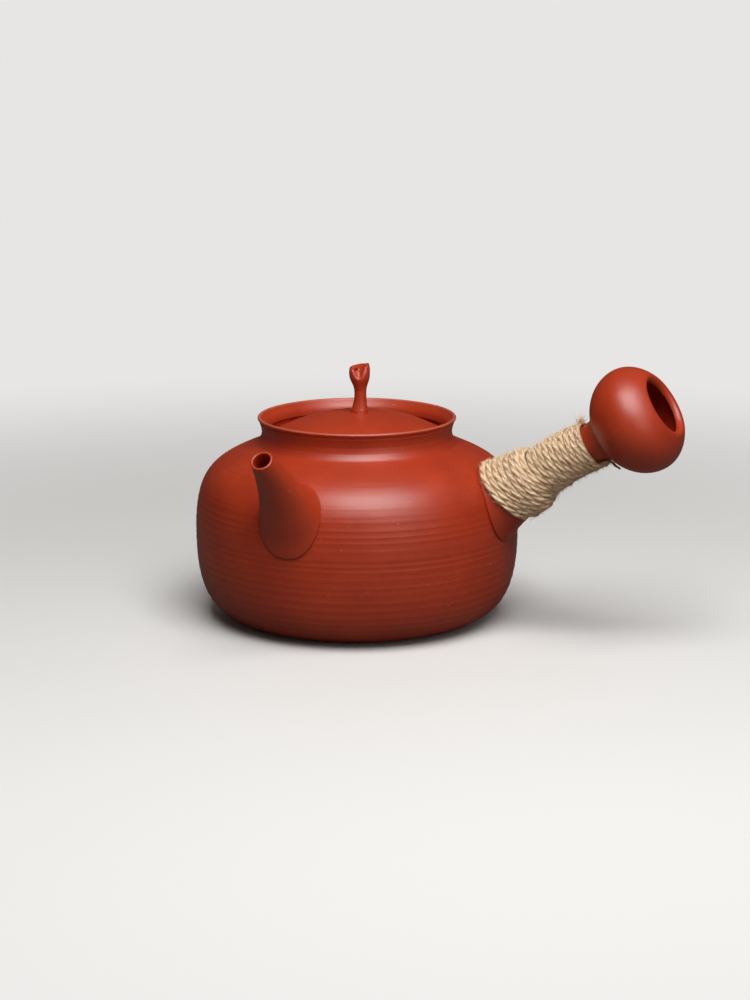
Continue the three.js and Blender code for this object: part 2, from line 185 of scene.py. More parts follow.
scene.world = bpy.data.worlds.new("room")
scene.world.use_nodes = True
tree = scene.world.node_tree
tree.nodes.clear()
lit = add(tree, "ShaderNodeBackground", {"Color": ROOM_COLOUR, "Strength": ROOM_LIGHT}).outputs[0]
seen = add(tree, "ShaderNodeBackground", {"Color": BACKDROP}).outputs[0]
by_camera = add(tree, "ShaderNodeLightPath").outputs["Is Camera Ray"]
sky = add(tree, "ShaderNodeMixShader", {0: by_camera, 1: lit, 2: seen}).outputs[0]
add(tree, "ShaderNodeOutputWorld", {"Surface": sky})

bpy.ops.object.select_all(action="DESELECT")
bpy.ops.mesh.primitive_plane_add(size=FLOOR_SIZE)
floor = bpy.context.object
floor.name = "floor"
floor_paint, tree, shader = new_finish("pale_floor")
by_camera = add(tree, "ShaderNodeLightPath").outputs["Is Camera Ray"]
tree.links.new(blend(tree, by_camera, FLOOR_FELT, FLOOR_SEEN), shader.inputs["Base Color"])
shader.inputs["Roughness"].default_value = FLOOR_ROUGHNESS
spot = add(tree, "ShaderNodeTexCoord").outputs["Object"]
away = add(tree, "ShaderNodeVectorMath", {0: spot}, operation="LENGTH").outputs["Value"]
fade = spread(tree, away, FADE_FROM, FADE_TO, interpolation_type="SMOOTHSTEP")
fade = sum_up(tree, "MULTIPLY", fade, by_camera)
backdrop = add(tree, "ShaderNodeEmission", {"Color": BACKDROP}).outputs[0]
surface = add(tree, "ShaderNodeMixShader", {0: fade, 1: shader.outputs[0], 2: backdrop}).outputs[0]
tree.links.new(surface, tree.nodes["Material Output"].inputs["Surface"])
floor.data.materials.append(floor_paint)
print("floor fades out", FADE_FROM, "to", FADE_TO, "m from the pot's middle")

# %% [markdown]
# ## Drawing curves
#
# A potter's outline is a few long, calm curves. Each is a Bezier curve through
# the same points as in the CAD model, so the fine piece lies exactly where the
# solid does. A curve is traced into many points, and can be traced a wall's
# thickness away from itself, which is how the inside of a thrown wall follows
# its outside.

# %% Curves in (radius, height), millimetres
SAME_PLACE = 1e-4


def moved_out(points, way, far):
    """Points of a line, moved to the right of the way it goes."""
    way = way / np.linalg.norm(way, axis=1)[:, None]
    return points + np.stack([way[:, 1], -way[:, 0]], 1) * far


def bezier(handles, steps, start=0.0, end=1.0, grow=0.0):
    """Points of a Bezier curve, moved outwards by grow."""
    share = np.linspace(start, end, steps + 1)[:, None]
    rows = [np.tile(np.array(h, float), (steps + 1, 1)) for h in handles]
    while len(rows) > 2:
        rows = [a + (b - a) * share for a, b in zip(rows, rows[1:])]
    way = rows[1] - rows[0]
    return moved_out(rows[0] + way * share, way, grow)


def ellipse(height, half_width, half_length, start, end, steps, grow=0.0):
    """Points of an ellipse round (0, height), moved outwards by grow."""
    angle = np.linspace(start, end, steps + 1)
    points = np.stack([half_width * np.cos(angle), height + half_length * np.sin(angle)], 1)
    way = np.stack([-half_width * np.sin(angle), half_length * np.cos(angle)], 1)
    return moved_out(points, way, grow)


def round_edge(outer, inner, steps):
    """The half circle from one side of a wall's edge to the other."""
    middle, reach = (outer + inner) / 2, (outer - inner) / 2
    angle = np.linspace(0, math.pi, steps + 1)[1:-1, None]
    turned = np.array([-reach[1], reach[0]])
    return middle + reach * np.cos(angle) + turned * np.sin(angle)


def chained(*stretches):
    """Stretches end to end, with the points that meet kept once."""
    points = np.concatenate(stretches)
    apart = np.linalg.norm(np.diff(points, axis=0), axis=1) > SAME_PLACE
    return points[np.concatenate([[True], apart])]


# %% [markdown]
# ## Turning an outline into a thrown piece
#
# A thrown piece is its outline turned round the wheel's axis. In Blender that is
# one corner, extruded along the outline as a pen draws a line, and then spun
# through a full turn. Spinning leaves doubled corners where the turn closes and
# on the axis, so they are merged, and the normals are made consistent because a
# spin can turn a shape inside out.

# %% Drawing and spinning
SPIN_STEPS = 176
WELD_REACH = 2e-6
SMOOTH_BELOW = 50


def begin(primitive, **size):
    """A new primitive on its own, in edit mode."""
    bpy.ops.object.select_all(action="DESELECT")
    primitive(**size)
    bpy.ops.object.mode_set(mode="EDIT")
    return bpy.context.object


def closed(shape, name, angle=SMOOTH_BELOW):
    """Merges what meets, turns the faces outwards and smooths all but real edges."""
    bpy.ops.mesh.select_all(action="SELECT")
    bpy.ops.mesh.remove_doubles(threshold=WELD_REACH)
    bpy.ops.mesh.fill_holes(sides=0)
    bpy.ops.mesh.normals_make_consistent(inside=False)
    bpy.ops.object.mode_set(mode="OBJECT")
    bpy.ops.object.shade_smooth_by_angle(angle=math.radians(angle))
    shape.name = shape.data.name = name
    print(f"{name}: {len(shape.data.vertices)} corners, {len(shape.data.polygons)} faces")
    return shape


def thrown(name, outline, steps=SPIN_STEPS, centre=(0, 0, 0)):
    """A piece that is turned on the wheel, from its outline in millimetres."""
    shape = begin(bpy.ops.mesh.primitive_plane_add, size=MM)
    bpy.ops.mesh.merge(type="CENTER")
    corners = [Vector((r, 0, z)) * MM for r, z in outline]
    middle = Vector(centre) * MM
    bpy.ops.transform.translate(value=corners[0] + middle)
    for before, after in zip(corners, corners[1:]):
        bpy.ops.mesh.extrude_vertices_move(TRANSFORM_OT_translate={"value": after - before})
    bpy.ops.mesh.select_all(action="SELECT")
    bpy.ops.mesh.spin(steps=steps, angle=2 * math.pi, center=middle, axis=(0, 0, 1))
    return closed(shape, name)


# %% [markdown]
# ## The pot
#
# The pot's outline climbs from the flat base over the belly and the shoulder to
# the flared collar, turns over the lip, and comes back down inside over the
# ledge that the lid lies on. The potter's fingers leave rings round the belly:
# each is a low step, sharp on its upper side, about 3 mm from the next and never
# quite the same. They are pressed into the outline itself, so they catch the
# light as the real ones do. They only ever go inwards, which keeps the pot
# inside its CAD size.

# %% The pot's outline
BASE_RADIUS, BELLY_RADIUS, BELLY_HEIGHT = 39.3, 66.0, 37.0
NECK_RADIUS, NECK_HEIGHT = 40.8, 72.2
RIM_RADIUS, RIM_HEIGHT = 40.4, 82.9
BASE_PULL, BELLY_PULL_DOWN, BELLY_PULL_UP = 22.3, 23.7, 25.5
SHOULDER_SLOPE, SHOULDER_PULL = math.radians(23), 18.4
POT_WALL, COLLAR_WALL, LIP = 2.8, 2.4, 1.5
COLLAR_DRAW, COLLAR_PULL_DOWN, COLLAR_PULL_UP = 2.65, 2.9, 5.3
LEDGE_HEIGHT, LEDGE_THICKNESS, LEDGE_ROUNDING, MOUTH_RADIUS = 74.2, 2.8, 0.7, 31.0
LIP_HEIGHT = RIM_HEIGHT - LIP / 2

under_handles = [
    (BASE_RADIUS, 0),
    (BASE_RADIUS + BASE_PULL, 0),
    (BELLY_RADIUS, BELLY_HEIGHT - BELLY_PULL_DOWN),
    (BELLY_RADIUS, BELLY_HEIGHT),
]
shoulder_handles = [
    (BELLY_RADIUS, BELLY_HEIGHT),
    (BELLY_RADIUS, BELLY_HEIGHT + BELLY_PULL_UP),
    (
        NECK_RADIUS + SHOULDER_PULL * math.cos(SHOULDER_SLOPE),
        NECK_HEIGHT - SHOULDER_PULL * math.sin(SHOULDER_SLOPE),
    ),
    (NECK_RADIUS, NECK_HEIGHT),
]
collar_handles = [
    (NECK_RADIUS, NECK_HEIGHT),
    (NECK_RADIUS - COLLAR_DRAW, NECK_HEIGHT + COLLAR_PULL_DOWN),
    (NECK_RADIUS - COLLAR_DRAW, RIM_HEIGHT - COLLAR_PULL_UP),
    (RIM_RADIUS, LIP_HEIGHT),
]
gallery_radius = bezier(collar_handles, 2)[1][0] - COLLAR_WALL
belly_line = chained(bezier(under_handles, 150), bezier(shoulder_handles, 150))
print(f"inside the collar the pot is {2 * gallery_radius:.1f} mm wide")

# %% Finger rings, pressed into the outline
RING_SPACING, RING_DEPTH, RING_POINTS = 3.0, 0.085, 7
NARROWEST, WIDEST, SHALLOWEST, DEEPEST = 0.72, 1.28, 0.55, 1.3
RINGS_FROM, RINGS_TO, RINGS_FADE = 5.0, 57.0, 9.0
PLAIN_SPACING = 1.3
draw = random.Random(41)


def way_along(points):
    """How far along a line each of its points lies."""
    return np.concatenate([[0], np.cumsum(np.linalg.norm(np.diff(points, axis=0), axis=1))])


smooth_belly = chained(bezier(under_handles, 1500), bezier(shoulder_handles, 1500))
belly_way = way_along(smooth_belly)
first_ring, last_ring = np.interp((RINGS_FROM, RINGS_TO), smooth_belly[:, 1], belly_way)
places = list(np.arange(0, first_ring, PLAIN_SPACING))
depths = [0.0] * len(places)
ring_start, ring_count = first_ring, 0
while ring_start < last_ring:
    ring_width = RING_SPACING * draw.uniform(NARROWEST, WIDEST)
    ring_depth = RING_DEPTH * draw.uniform(SHALLOWEST, DEEPEST) * min(1, (last_ring - ring_start) / RINGS_FADE)
    share = np.arange(RING_POINTS) / RING_POINTS
    places.extend(ring_start + ring_width * share)
    depths.extend(ring_depth * 4 * share * (1 - share))
    ring_start, ring_count = ring_start + ring_width, ring_count + 1
plain_places = np.arange(ring_start, belly_way[-1] - PLAIN_SPACING / 2, PLAIN_SPACING)
plain_places = np.append(plain_places, belly_way[-1])
places.extend(plain_places)
depths.extend(0 * plain_places)
print(ring_count, "finger rings round the belly")


def pressed(outline, depth):
    """The outline, moved inwards by a depth at each point."""
    return moved_out(outline, np.gradient(outline, axis=0), -depth[:, None])


outer_belly = np.stack([np.interp(places, belly_way, smooth_belly[:, axis]) for axis in (0, 1)], 1)
outer_belly = pressed(outer_belly, np.array(depths))

# %% [markdown]
# The collar is turned with a tool once the pot is leather hard. The tool leaves a
# groove under the lip and fine lines lower down. Inside, the lid's seat is cut a
# little under the wall, which leaves a dark slot beside the lid.

# %% The collar and the whole outline
# The tool's lines: (height, depth, width)
TOOL_MARKS = [
    (RIM_HEIGHT - 2.1, 0.24, 0.36),
    (RIM_HEIGHT - 3.5, 0.05, 0.16),
    (76.9, 0.05, 0.3),
    (74.6, 0.04, 0.22),
]
UNDERCUT_TOP, UNDERCUT, UNDERCUT_SLANT = 77.3, 1.0, 0.35

collar = bezier(collar_handles, 64)
marks = [depth * np.exp(-(((collar[:, 1] - height) / width) ** 2)) for height, depth, width in TOOL_MARKS]
collar = pressed(collar, sum(marks))
collar_inside = bezier(
    [
        (RIM_RADIUS - LIP, LIP_HEIGHT),
        (gallery_radius, LIP_HEIGHT - COLLAR_PULL_UP / 2),
        (gallery_radius, LEDGE_HEIGHT + COLLAR_PULL_UP),
        (gallery_radius, LEDGE_HEIGHT),
    ],
    56,
)
undercut_radius = gallery_radius + UNDERCUT
collar_inside = chained(
    collar_inside[collar_inside[:, 1] > UNDERCUT_TOP],
    [(undercut_radius, UNDERCUT_TOP - UNDERCUT_SLANT), (undercut_radius, LEDGE_HEIGHT)],
)
ledge_edge = ellipse(0, LEDGE_ROUNDING, LEDGE_ROUNDING, math.pi / 2, math.pi, 4)
ledge_edge += np.array([MOUTH_RADIUS + LEDGE_ROUNDING, LEDGE_HEIGHT - LEDGE_ROUNDING])
inside = chained(
    bezier(shoulder_handles, 26, start=1, end=0, grow=-POT_WALL),
    bezier(under_handles, 26, start=1, end=0, grow=-POT_WALL),
    [(0, POT_WALL)],
)
pot_outline = chained(
    [(0, 0), (BASE_RADIUS / 2, 0)],
    outer_belly,
    collar,
    round_edge(collar[-1], collar_inside[0], 8),
    collar_inside,
    ledge_edge,
    [(MOUTH_RADIUS, LEDGE_HEIGHT - LEDGE_THICKNESS)],
    inside,
)
pot_shell = thrown("pot_shell", pot_outline)

# %% [markdown]
# ## The pouring holes
#
# Behind the spout the wall is pierced, so that the leaves stay in the pot: one
# hole in the middle and a ring of holes round it. The potter pierces them before
# the spout goes on. One drill is made and copied to each place, and a Boolean
# modifier cuts them all out of the shell at once.

# %% Piercing the wall
HOLE_RADIUS, HOLE_COUNT, HOLE_RING = 1.7, 8, 6.4
DRILL_SIDES, DRILL_LENGTH = 24, 9.6
SPOUT_FOOT_LOW, SPOUT_FOOT_HIGH = BELLY_HEIGHT + 0.4, BELLY_HEIGHT + 29


def shoulder_at(height):
    """The shoulder's point at a height, and the way out from it."""
    line = bezier(shoulder_handles, 400)
    place = np.searchsorted(line[:, 1], height)
    low, high = line[place - 1], line[place]
    point = low + (high - low) * (height - low[1]) / (high[1] - low[1])
    along = (high - low) / np.linalg.norm(high - low)
    return point, np.array([along[1], -along[0]])


def joined(pieces):
    """Several pieces made one, under the first one's name."""
    bpy.ops.object.select_all(action="DESELECT")
    for piece in pieces:
        piece.select_set(True)
    bpy.context.view_layer.objects.active = pieces[0]
    bpy.ops.object.join()
    return pieces[0]


def cut(shape, tool):
    """Cuts a tool out of a piece and throws the tool away."""
    bpy.ops.object.select_all(action="DESELECT")
    shape.select_set(True)
    bpy.context.view_layer.objects.active = shape
    knife = shape.modifiers.new("cut", "BOOLEAN")
    knife.operation, knife.solver, knife.object = "DIFFERENCE", "EXACT", tool
    bpy.ops.object.modifier_apply(modifier=knife.name)
    bpy.data.objects.remove(tool)


pierced_point, pierced_out = shoulder_at((SPOUT_FOOT_LOW + SPOUT_FOOT_HIGH) / 2)
hole_place = Matrix.Translation(Vector((0, -pierced_point[0], pierced_point[1])) * MM)
hole_place = hole_place @ Matrix.Rotation(math.pi / 2 - math.atan2(pierced_out[1], pierced_out[0]), 4, "X")
drills = []
for hole in range(HOLE_COUNT + 1):
    turn = 2 * math.pi * hole / HOLE_COUNT
    aside = Vector((math.cos(turn), math.sin(turn), 0)) * (HOLE_RING if hole < HOLE_COUNT else 0)
    bpy.ops.object.select_all(action="DESELECT")
    bpy.ops.mesh.primitive_cylinder_add(vertices=DRILL_SIDES, radius=HOLE_RADIUS * MM, depth=DRILL_LENGTH * MM)
    drill = bpy.context.object
    drill.matrix_world = hole_place @ Matrix.Translation(aside * MM)
    drills.append(drill)
cut(pot_shell, joined(drills))
bpy.ops.object.shade_smooth_by_angle(angle=math.radians(SMOOTH_BELOW))
print(f"{HOLE_COUNT + 1} holes pierced, {len(pot_shell.data.polygons)} faces now")

# %% [markdown]
# ## Fitting clay to clay
#
# The spout and the handle are shaped on their own and then trimmed to the
# belly's curve. Their feet are saddles, so a plain circle can't be their last
# ring. Each piece is therefore thought of as many lines that run along its
# outside, over its lip and back down its bore, and every line is cut where it
# meets the belly. First comes how far a point lies outside the belly.

# %% How far from the belly
belly_knots = belly_line[::3]
NUDGE = 0.2


def unit(way):
    """A direction, one long."""
    return way / np.linalg.norm(way)


def above_belly(points):
    """How far points lie outside the pot's outline, in millimetres."""
    flat = points.reshape(-1, 3)
    place = np.stack([np.hypot(flat[:, 0], flat[:, 1]), flat[:, 2]], 1)
    best = np.full(len(place), np.inf)
    signed = np.zeros(len(place))
    for start, end in zip(belly_knots, belly_knots[1:]):
        side = end - start
        share = np.clip(((place - start) @ side) / (side @ side), 0, 1)
        away = place - (start + share[:, None] * side)
        distance = np.linalg.norm(away, axis=1)
        nearer = distance < best
        best[nearer] = distance[nearer]
        signed[nearer] = (np.sign(away[:, 0] * side[1] - away[:, 1] * side[0]) * distance)[nearer]
    return signed.reshape(points.shape[:-1])


def out_of_belly(point):
    """The way straight out of the belly near a point."""
    step = NUDGE * np.eye(3)
    return unit(above_belly(point + step) - above_belly(point - step))


print("the rim's edge lies", above_belly(np.array([[RIM_RADIUS, 0, RIM_HEIGHT]])).round(1), "mm off the belly")

# %% [markdown]
# A potter runs a wet finger round the seam. That rounds the foot's edge and
# leaves a narrow crease under it, which is the dark line that shows where two
# pieces of clay meet. Where a foot leaves the belly almost flat, it is swollen a
# little, so that its edge stands out all the way round. A grid primitive is then
# wrapped over the lines, and its doubled corners are merged.

# %% Cutting lines at the belly
SEAT = -0.04
SEAM_ROUNDING, SEAM_FULLNESS, SEAM_STEPS = 0.8, 0.7, 6
CREASE_DEPTH, CREASE_HEIGHT = 0.7, 0.22
FOOT_SWELL = 4.0
FOOT_CROWDING = 1.5


def along_line(line, place):
    """Points of a line, also between its corners: place 3.5 is halfway from 3 to 4."""
    low = np.minimum(np.floor(place).astype(int), len(line) - 2)
    part = (place - low)[:, None]
    return line[low] * (1 - part) + line[low + 1] * part


def seated(lines, root_rows, lead_out, lead_back):
    """Lines over a piece's outside and bore, each cut at the belly.

    lines has one row of points for each line, from the deep end of the outside
    to the deep end of the bore. The first lead_out and the last lead_back points
    may move up or down the line to meet the belly.
    """
    clear = above_belly(lines) - SEAT
    last = lines.shape[1] - 1
    t = np.linspace(0, 1, SEAM_STEPS + 1)[:-1, None]
    rows = []
    for line, off_belly in zip(lines, clear):
        first = int(np.argmax(off_belly > 0))
        foot = first - 1 + off_belly[first - 1] / (off_belly[first - 1] - off_belly[first])
        final = last - int(np.argmax(off_belly[::-1] > 0))
        heel = final + off_belly[final] / (off_belly[final] - off_belly[final + 1])
        begin_at = foot + SEAM_ROUNDING / np.linalg.norm(line[first + 1] - line[first])
        body = along_line(line, np.concatenate([
            begin_at + (lead_out - begin_at) * np.linspace(0, 1, root_rows) ** FOOT_CROWDING,
            np.arange(lead_out + 1, lead_back),
            lead_back + (heel - lead_back) * np.linspace(0, 1, root_rows // 2),
        ]))
        seam = along_line(line, np.array([foot]))[0]
        up, inward, off = unit(body[0] - seam), unit(body[-1] - seam), out_of_belly(seam)
        swell = np.exp(-((np.linalg.norm(body[:root_rows] - seam, axis=1) / FOOT_SWELL) ** 2))
        body[:root_rows] += off * SEAM_ROUNDING * (1 - up @ off) * swell[:, None]
        # The rounded edge is a Bezier curve from the crease up to the body
        crease = seam + inward * SEAM_ROUNDING + off * CREASE_HEIGHT
        pull = SEAM_FULLNESS * SEAM_ROUNDING
        edge = crease * (1 - t) ** 3 + (crease - inward * pull) * 3 * t * (1 - t) ** 2
        edge += (body[0] - up * pull) * 3 * t ** 2 * (1 - t) + body[0] * t ** 3
        deep = seam + inward * (SEAM_ROUNDING + CREASE_DEPTH)
        rows.append(np.concatenate([[deep], edge, body, [deep]]))
    return np.array(rows)


def wrapped(name, lines, angle=SMOOTH_BELOW):
    """A grid primitive, wrapped over lines of points. Its long way follows each
    line, and its short way goes round from line to line."""
    around, along = lines.shape[0], lines.shape[1] - 1
    lines = np.concatenate([lines, lines[:1]])
    shape = begin(bpy.ops.mesh.primitive_grid_add, x_subdivisions=around, y_subdivisions=along, size=1)
    bpy.ops.object.mode_set(mode="OBJECT")
    flat = np.zeros(len(shape.data.vertices) * 3)
    shape.data.vertices.foreach_get("co", flat)
    place = flat.reshape(-1, 3) + 0.5
    row = np.rint(place[:, 0] * around).astype(int)
    step = np.rint(place[:, 1] * along).astype(int)
    shape.data.vertices.foreach_set("co", (lines[row, step] * MM).ravel())
    bpy.ops.object.mode_set(mode="EDIT")
    return closed(shape, name, angle)


# %% [markdown]
# ## The spout
#
# Seen from the side, the spout lies between two curves: a long steep one
# underneath, and a short one behind it that leaves the shoulder almost flat.
# Across, it narrows from a broad foot to a round mouth. The wall thins from the
# foot to the lip, and the lip is rounded over.

# %% The spout's lines
SPOUT_MOUTH = np.array([BELLY_RADIUS + 20.6, RIM_HEIGHT - 2.1])
SPOUT_MOUTH_RADIUS, SPOUT_MOUTH_LIFT = 4.4, math.radians(48)
SPOUT_HALF_WIDTH, SPOUT_TAPER = 15.0, 1.28
SPOUT_UNDER_LIFT, SPOUT_BACK_LIFT = math.radians(72), math.radians(-20)
UNDER_FOOT_PULL, UNDER_TIP_PULL, BACK_FOOT_PULL, BACK_TIP_PULL = 17, 22, 4, 3
SPOUT_SINK, SUNK_SHARE, LIP_SHARE = 10.0, 0.25, 0.1
SPOUT_FOOT_WALL, SPOUT_LIP_WALL = 2.4, 1.05
SPOUT_LINES, SPOUT_STEPS = 88, 84
SPOUT_ROOT_ROWS, SPOUT_LEAD = 22, 40


def heading(lift, length):
    """A step of a length, at an angle above the level."""
    return np.array([math.cos(lift), math.sin(lift)]) * length


tip_low = SPOUT_MOUTH + heading(SPOUT_MOUTH_LIFT - math.pi / 2, SPOUT_MOUTH_RADIUS)
tip_high = SPOUT_MOUTH + heading(SPOUT_MOUTH_LIFT + math.pi / 2, SPOUT_MOUTH_RADIUS)
foot_low, foot_high = shoulder_at(SPOUT_FOOT_LOW)[0], shoulder_at(SPOUT_FOOT_HIGH)[0]
under_spout = [
    foot_low,
    foot_low + heading(SPOUT_UNDER_LIFT, UNDER_FOOT_PULL),
    tip_low - heading(SPOUT_MOUTH_LIFT, UNDER_TIP_PULL),
    tip_low,
]
back_of_spout = [
    foot_high,
    foot_high + heading(SPOUT_BACK_LIFT, BACK_FOOT_PULL),
    tip_high - heading(SPOUT_MOUTH_LIFT, BACK_TIP_PULL),
    tip_high,
]


def spout_rings(shares, walls):
    """Rings across the spout. A share of 0 is the foot, 1 the mouth, and below 0
    the ring lies inside the belly."""
    rings = []
    turn = np.linspace(0, 2 * math.pi, SPOUT_LINES, endpoint=False)
    for share, wall in zip(shares, walls):
        reach = max(share, 0.0)
        sunk = np.array([SPOUT_SINK * min(share, 0.0) / SUNK_SHARE, 0])
        low = bezier(under_spout, 1, reach, reach)[0] + sunk
        high = bezier(back_of_spout, 1, reach, reach)[0] + sunk
        middle, rise = (low + high) / 2, (high - low) / 2
        rise *= 1 - wall / np.linalg.norm(rise)
        narrowing = (1 - reach) ** SPOUT_TAPER
        half_width = SPOUT_MOUTH_RADIUS + (SPOUT_HALF_WIDTH - SPOUT_MOUTH_RADIUS) * narrowing - wall
        rings.append(np.stack([
            half_width * np.cos(turn),
            -(middle[0] + rise[0] * np.sin(turn)),
            middle[1] + rise[1] * np.sin(turn),
        ], 1))
    return np.array(rings)


shares = np.linspace(-SUNK_SHARE, 1, SPOUT_STEPS)
wall_at = SPOUT_FOOT_WALL + (SPOUT_LIP_WALL - SPOUT_FOOT_WALL) * np.clip(shares, 0, 1)
# The rings next to the mouth draw back by half the lip, which makes room for its rounding
lip_back = np.array([0, math.cos(SPOUT_MOUTH_LIFT), -math.sin(SPOUT_MOUTH_LIFT)]) * SPOUT_LIP_WALL / 2
drawn_back = lip_back * np.clip((shares - 1 + LIP_SHARE) / LIP_SHARE, 0, 1)[:, None, None]
outside = spout_rings(shares, 0 * shares) + drawn_back
bore = (spout_rings(shares, wall_at) + drawn_back)[::-1]
middle, reach = (outside[-1] + bore[0]) / 2, (outside[-1] - bore[0]) / 2
lip = [middle + reach * math.cos(turn) - lip_back * math.sin(turn) for turn in np.linspace(0, math.pi, 8)[1:-1]]
spout_lines = np.concatenate([outside, lip, bore]).transpose(1, 0, 2)
spout_lines = seated(spout_lines, SPOUT_ROOT_ROWS, SPOUT_LEAD, spout_lines.shape[1] - SPOUT_LEAD - 2)
spout_pipe = wrapped("spout_pipe", spout_lines)

# %% [markdown]
# ## The handle
#
# The handle is thrown as a little hollow bottle: a flared foot, a root that
# steps down to the grip, and a bulb whose mouth is left open, with its lip
# rolled in. It leaves the belly at an angle and a quarter turn from the spout.
# Its outline is drawn along its own axis and swung round that axis, one line at
# a time, so that each line can be cut where it meets the belly.

# %% The handle's outline, in (radius, length along the handle)
HANDLE_LIFT = math.radians(32.2)
HANDLE_WALL, HANDLE_SINK, SUNK_RADIUS = 2.4, 9.0, 17.5
FLARE_RADIUS, FLARE_LENGTH = 12.3, 3.0
GRIP_START, GRIP_RADIUS, GRIP_END, GRIP_END_RADIUS = 22.5, 8.7, 44.0, 8.2
ROOT_RADIUS, ROOT_END = 11.7, 13.5
GRIP_BOW = 1.1
BULB_RADIUS, BULB_BACK, BULB_FRONT, BULB_MIDDLE = 21.5, 18.0, 15.3, 66.5
BULB_JOIN, BULB_HOLE = math.radians(59), 10.9
LIP_ROLL, LIP_PULL, LIP_DEPTH = 3.1, 1.9, 2.0
HANDLE_LINES, HANDLE_ROOT_ROWS = 120, 30
HANDLE_FOOT_HEIGHT = BELLY_HEIGHT + 18.2

join_radius = BULB_RADIUS * math.cos(BULB_JOIN)
join_length = BULB_MIDDLE - BULB_BACK * math.sin(BULB_JOIN)
join_slope = BULB_RADIUS * math.tan(BULB_JOIN) / BULB_BACK
lip_turn = math.acos((BULB_HOLE + LIP_ROLL) / BULB_RADIUS)
step_pull = (GRIP_START - ROOT_END) / 2


def handle_side(grow):
    """The handle's outline from its sunk foot to the bulb's mouth."""
    return chained(
        bezier([(SUNK_RADIUS, -HANDLE_SINK), (FLARE_RADIUS, FLARE_LENGTH), (ROOT_RADIUS, ROOT_END)], 60, grow=grow),
        bezier(
            [
                (ROOT_RADIUS, ROOT_END),
                (ROOT_RADIUS, ROOT_END + step_pull),
                (GRIP_RADIUS, GRIP_START - step_pull),
                (GRIP_RADIUS, GRIP_START),
            ],
            12,
            grow=grow,
        ),
        bezier([(GRIP_RADIUS, GRIP_START), (GRIP_END_RADIUS, GRIP_END)], 14, grow=grow),
        bezier(
            [
                (GRIP_END_RADIUS, GRIP_END),
                (GRIP_END_RADIUS, join_length - (join_radius - GRIP_END_RADIUS) / join_slope),
                (join_radius, join_length),
            ],
            12,
            grow=grow,
        ),
        ellipse(BULB_MIDDLE, BULB_RADIUS, BULB_BACK, -BULB_JOIN, 0, 26, grow),
        ellipse(BULB_MIDDLE, BULB_RADIUS, BULB_FRONT, 0, lip_turn, 18, grow),
    )


handle_out = handle_side(0)
handle_in = handle_side(-HANDLE_WALL)[::-1]
lip_start = handle_out[-1]
lip_way = np.array([-BULB_RADIUS * math.sin(lip_turn), BULB_FRONT * math.cos(lip_turn)])
lip_way /= np.linalg.norm(lip_way)
rolled_lip = bezier(
    [
        lip_start,
        lip_start + lip_way * LIP_PULL,
        lip_start + (-LIP_ROLL, LIP_PULL - LIP_DEPTH),
        lip_start + (-LIP_ROLL, -LIP_DEPTH),
    ],
    14,
)
handle_outline = chained(handle_out, rolled_lip, handle_in)
print(f"the handle's outline has {len(handle_outline)} points and reaches {handle_outline[:, 1].max():.1f} mm out")

# %% The handle's place, and its lines
handle_root, _ = shoulder_at(HANDLE_FOOT_HEIGHT)
handle_root = np.array([handle_root[0], 0, handle_root[1]])
handle_along = np.array([math.cos(HANDLE_LIFT), 0, math.sin(HANDLE_LIFT)])
handle_up = np.array([-math.sin(HANDLE_LIFT), 0, math.cos(HANDLE_LIFT)])
handle_aside = np.array([0, 1.0, 0])


def bow_at(length):
    """How far the grip is bowed upwards at a length along the handle."""
    share = np.clip((length - ROOT_END) / (join_length - ROOT_END), 0, 1)
    return GRIP_BOW * np.sin(math.pi * share) ** 2


def on_axis(length):
    """Points of the handle's bowed middle line."""
    return handle_root + handle_along * length + handle_up * bow_at(length)


def on_handle(reach, angle, length):
    """Points from (radius, angle from the handle's upper side, length)."""
    reach, angle, length = (np.asarray(v, float)[..., None] for v in (reach, angle, length))
    return on_axis(length) + reach * (handle_up * np.cos(angle) + handle_aside * np.sin(angle))


angles = np.linspace(0, 2 * math.pi, HANDLE_LINES, endpoint=False)
handle_lines = on_handle(handle_outline[None, :, 0], angles[:, None], handle_outline[None, :, 1])
root_point = int(np.searchsorted(handle_out[:, 1], ROOT_END))
root_back = len(handle_outline) - root_point - 1
side_handle = wrapped("side_handle", seated(handle_lines, HANDLE_ROOT_ROWS, root_point, root_back))

# %% [markdown]
# ## The twine
#
# The grip is bound with hemp twine: one long thread of two strands twisted
# together, wound from the belly to the bulb with each turn against the last. At
# the belly the turns lean with the pot's side, and at the bulb the last one was
# drawn tight the other way. Each strand is a tube that circles the thread's
# middle as the thread circles the grip. Its width and path waver a little,
# because the twine is spun by hand.

# %% The thread's middle
TWINE_TURNS, TURN_STEPS = 18, 150
TWINE_START, TWINE_END, TWINE_START_LEAN, TWINE_END_LEAN = 3.6, 45.3, -3.6, -0.2
TWINE_START_SIDE = math.radians(200)
STRAND_HEIGHT, STRAND_RISE = 0.5, 0.42
THREAD_HEIGHT = STRAND_HEIGHT + STRAND_RISE
SIDE_KNOTS, SIDE_WAVER, RISE_KNOTS, RISE_WAVER = 170, 0.08, 200, 0.09
TAIL_STEPS, TAIL_REACH, TAIL_TURN = 70, 7.5, math.radians(12)
draw = np.random.default_rng(7)


def waver(count, knots, size):
    """A smooth random line, about size high, with a count of knots."""
    bends = draw.normal(0, size, knots)
    place = np.linspace(0, knots - 1, count)
    low = np.minimum(place.astype(int), knots - 2)
    part = place - low
    part = part * part * (3 - 2 * part)
    return bends[low] * (1 - part) + bends[low + 1] * part


slope = np.gradient(handle_out[:, 0], handle_out[:, 1])


def clay_at(length):
    """The handle's radius at a length along it."""
    return np.interp(length, handle_out[:, 1], handle_out[:, 0])


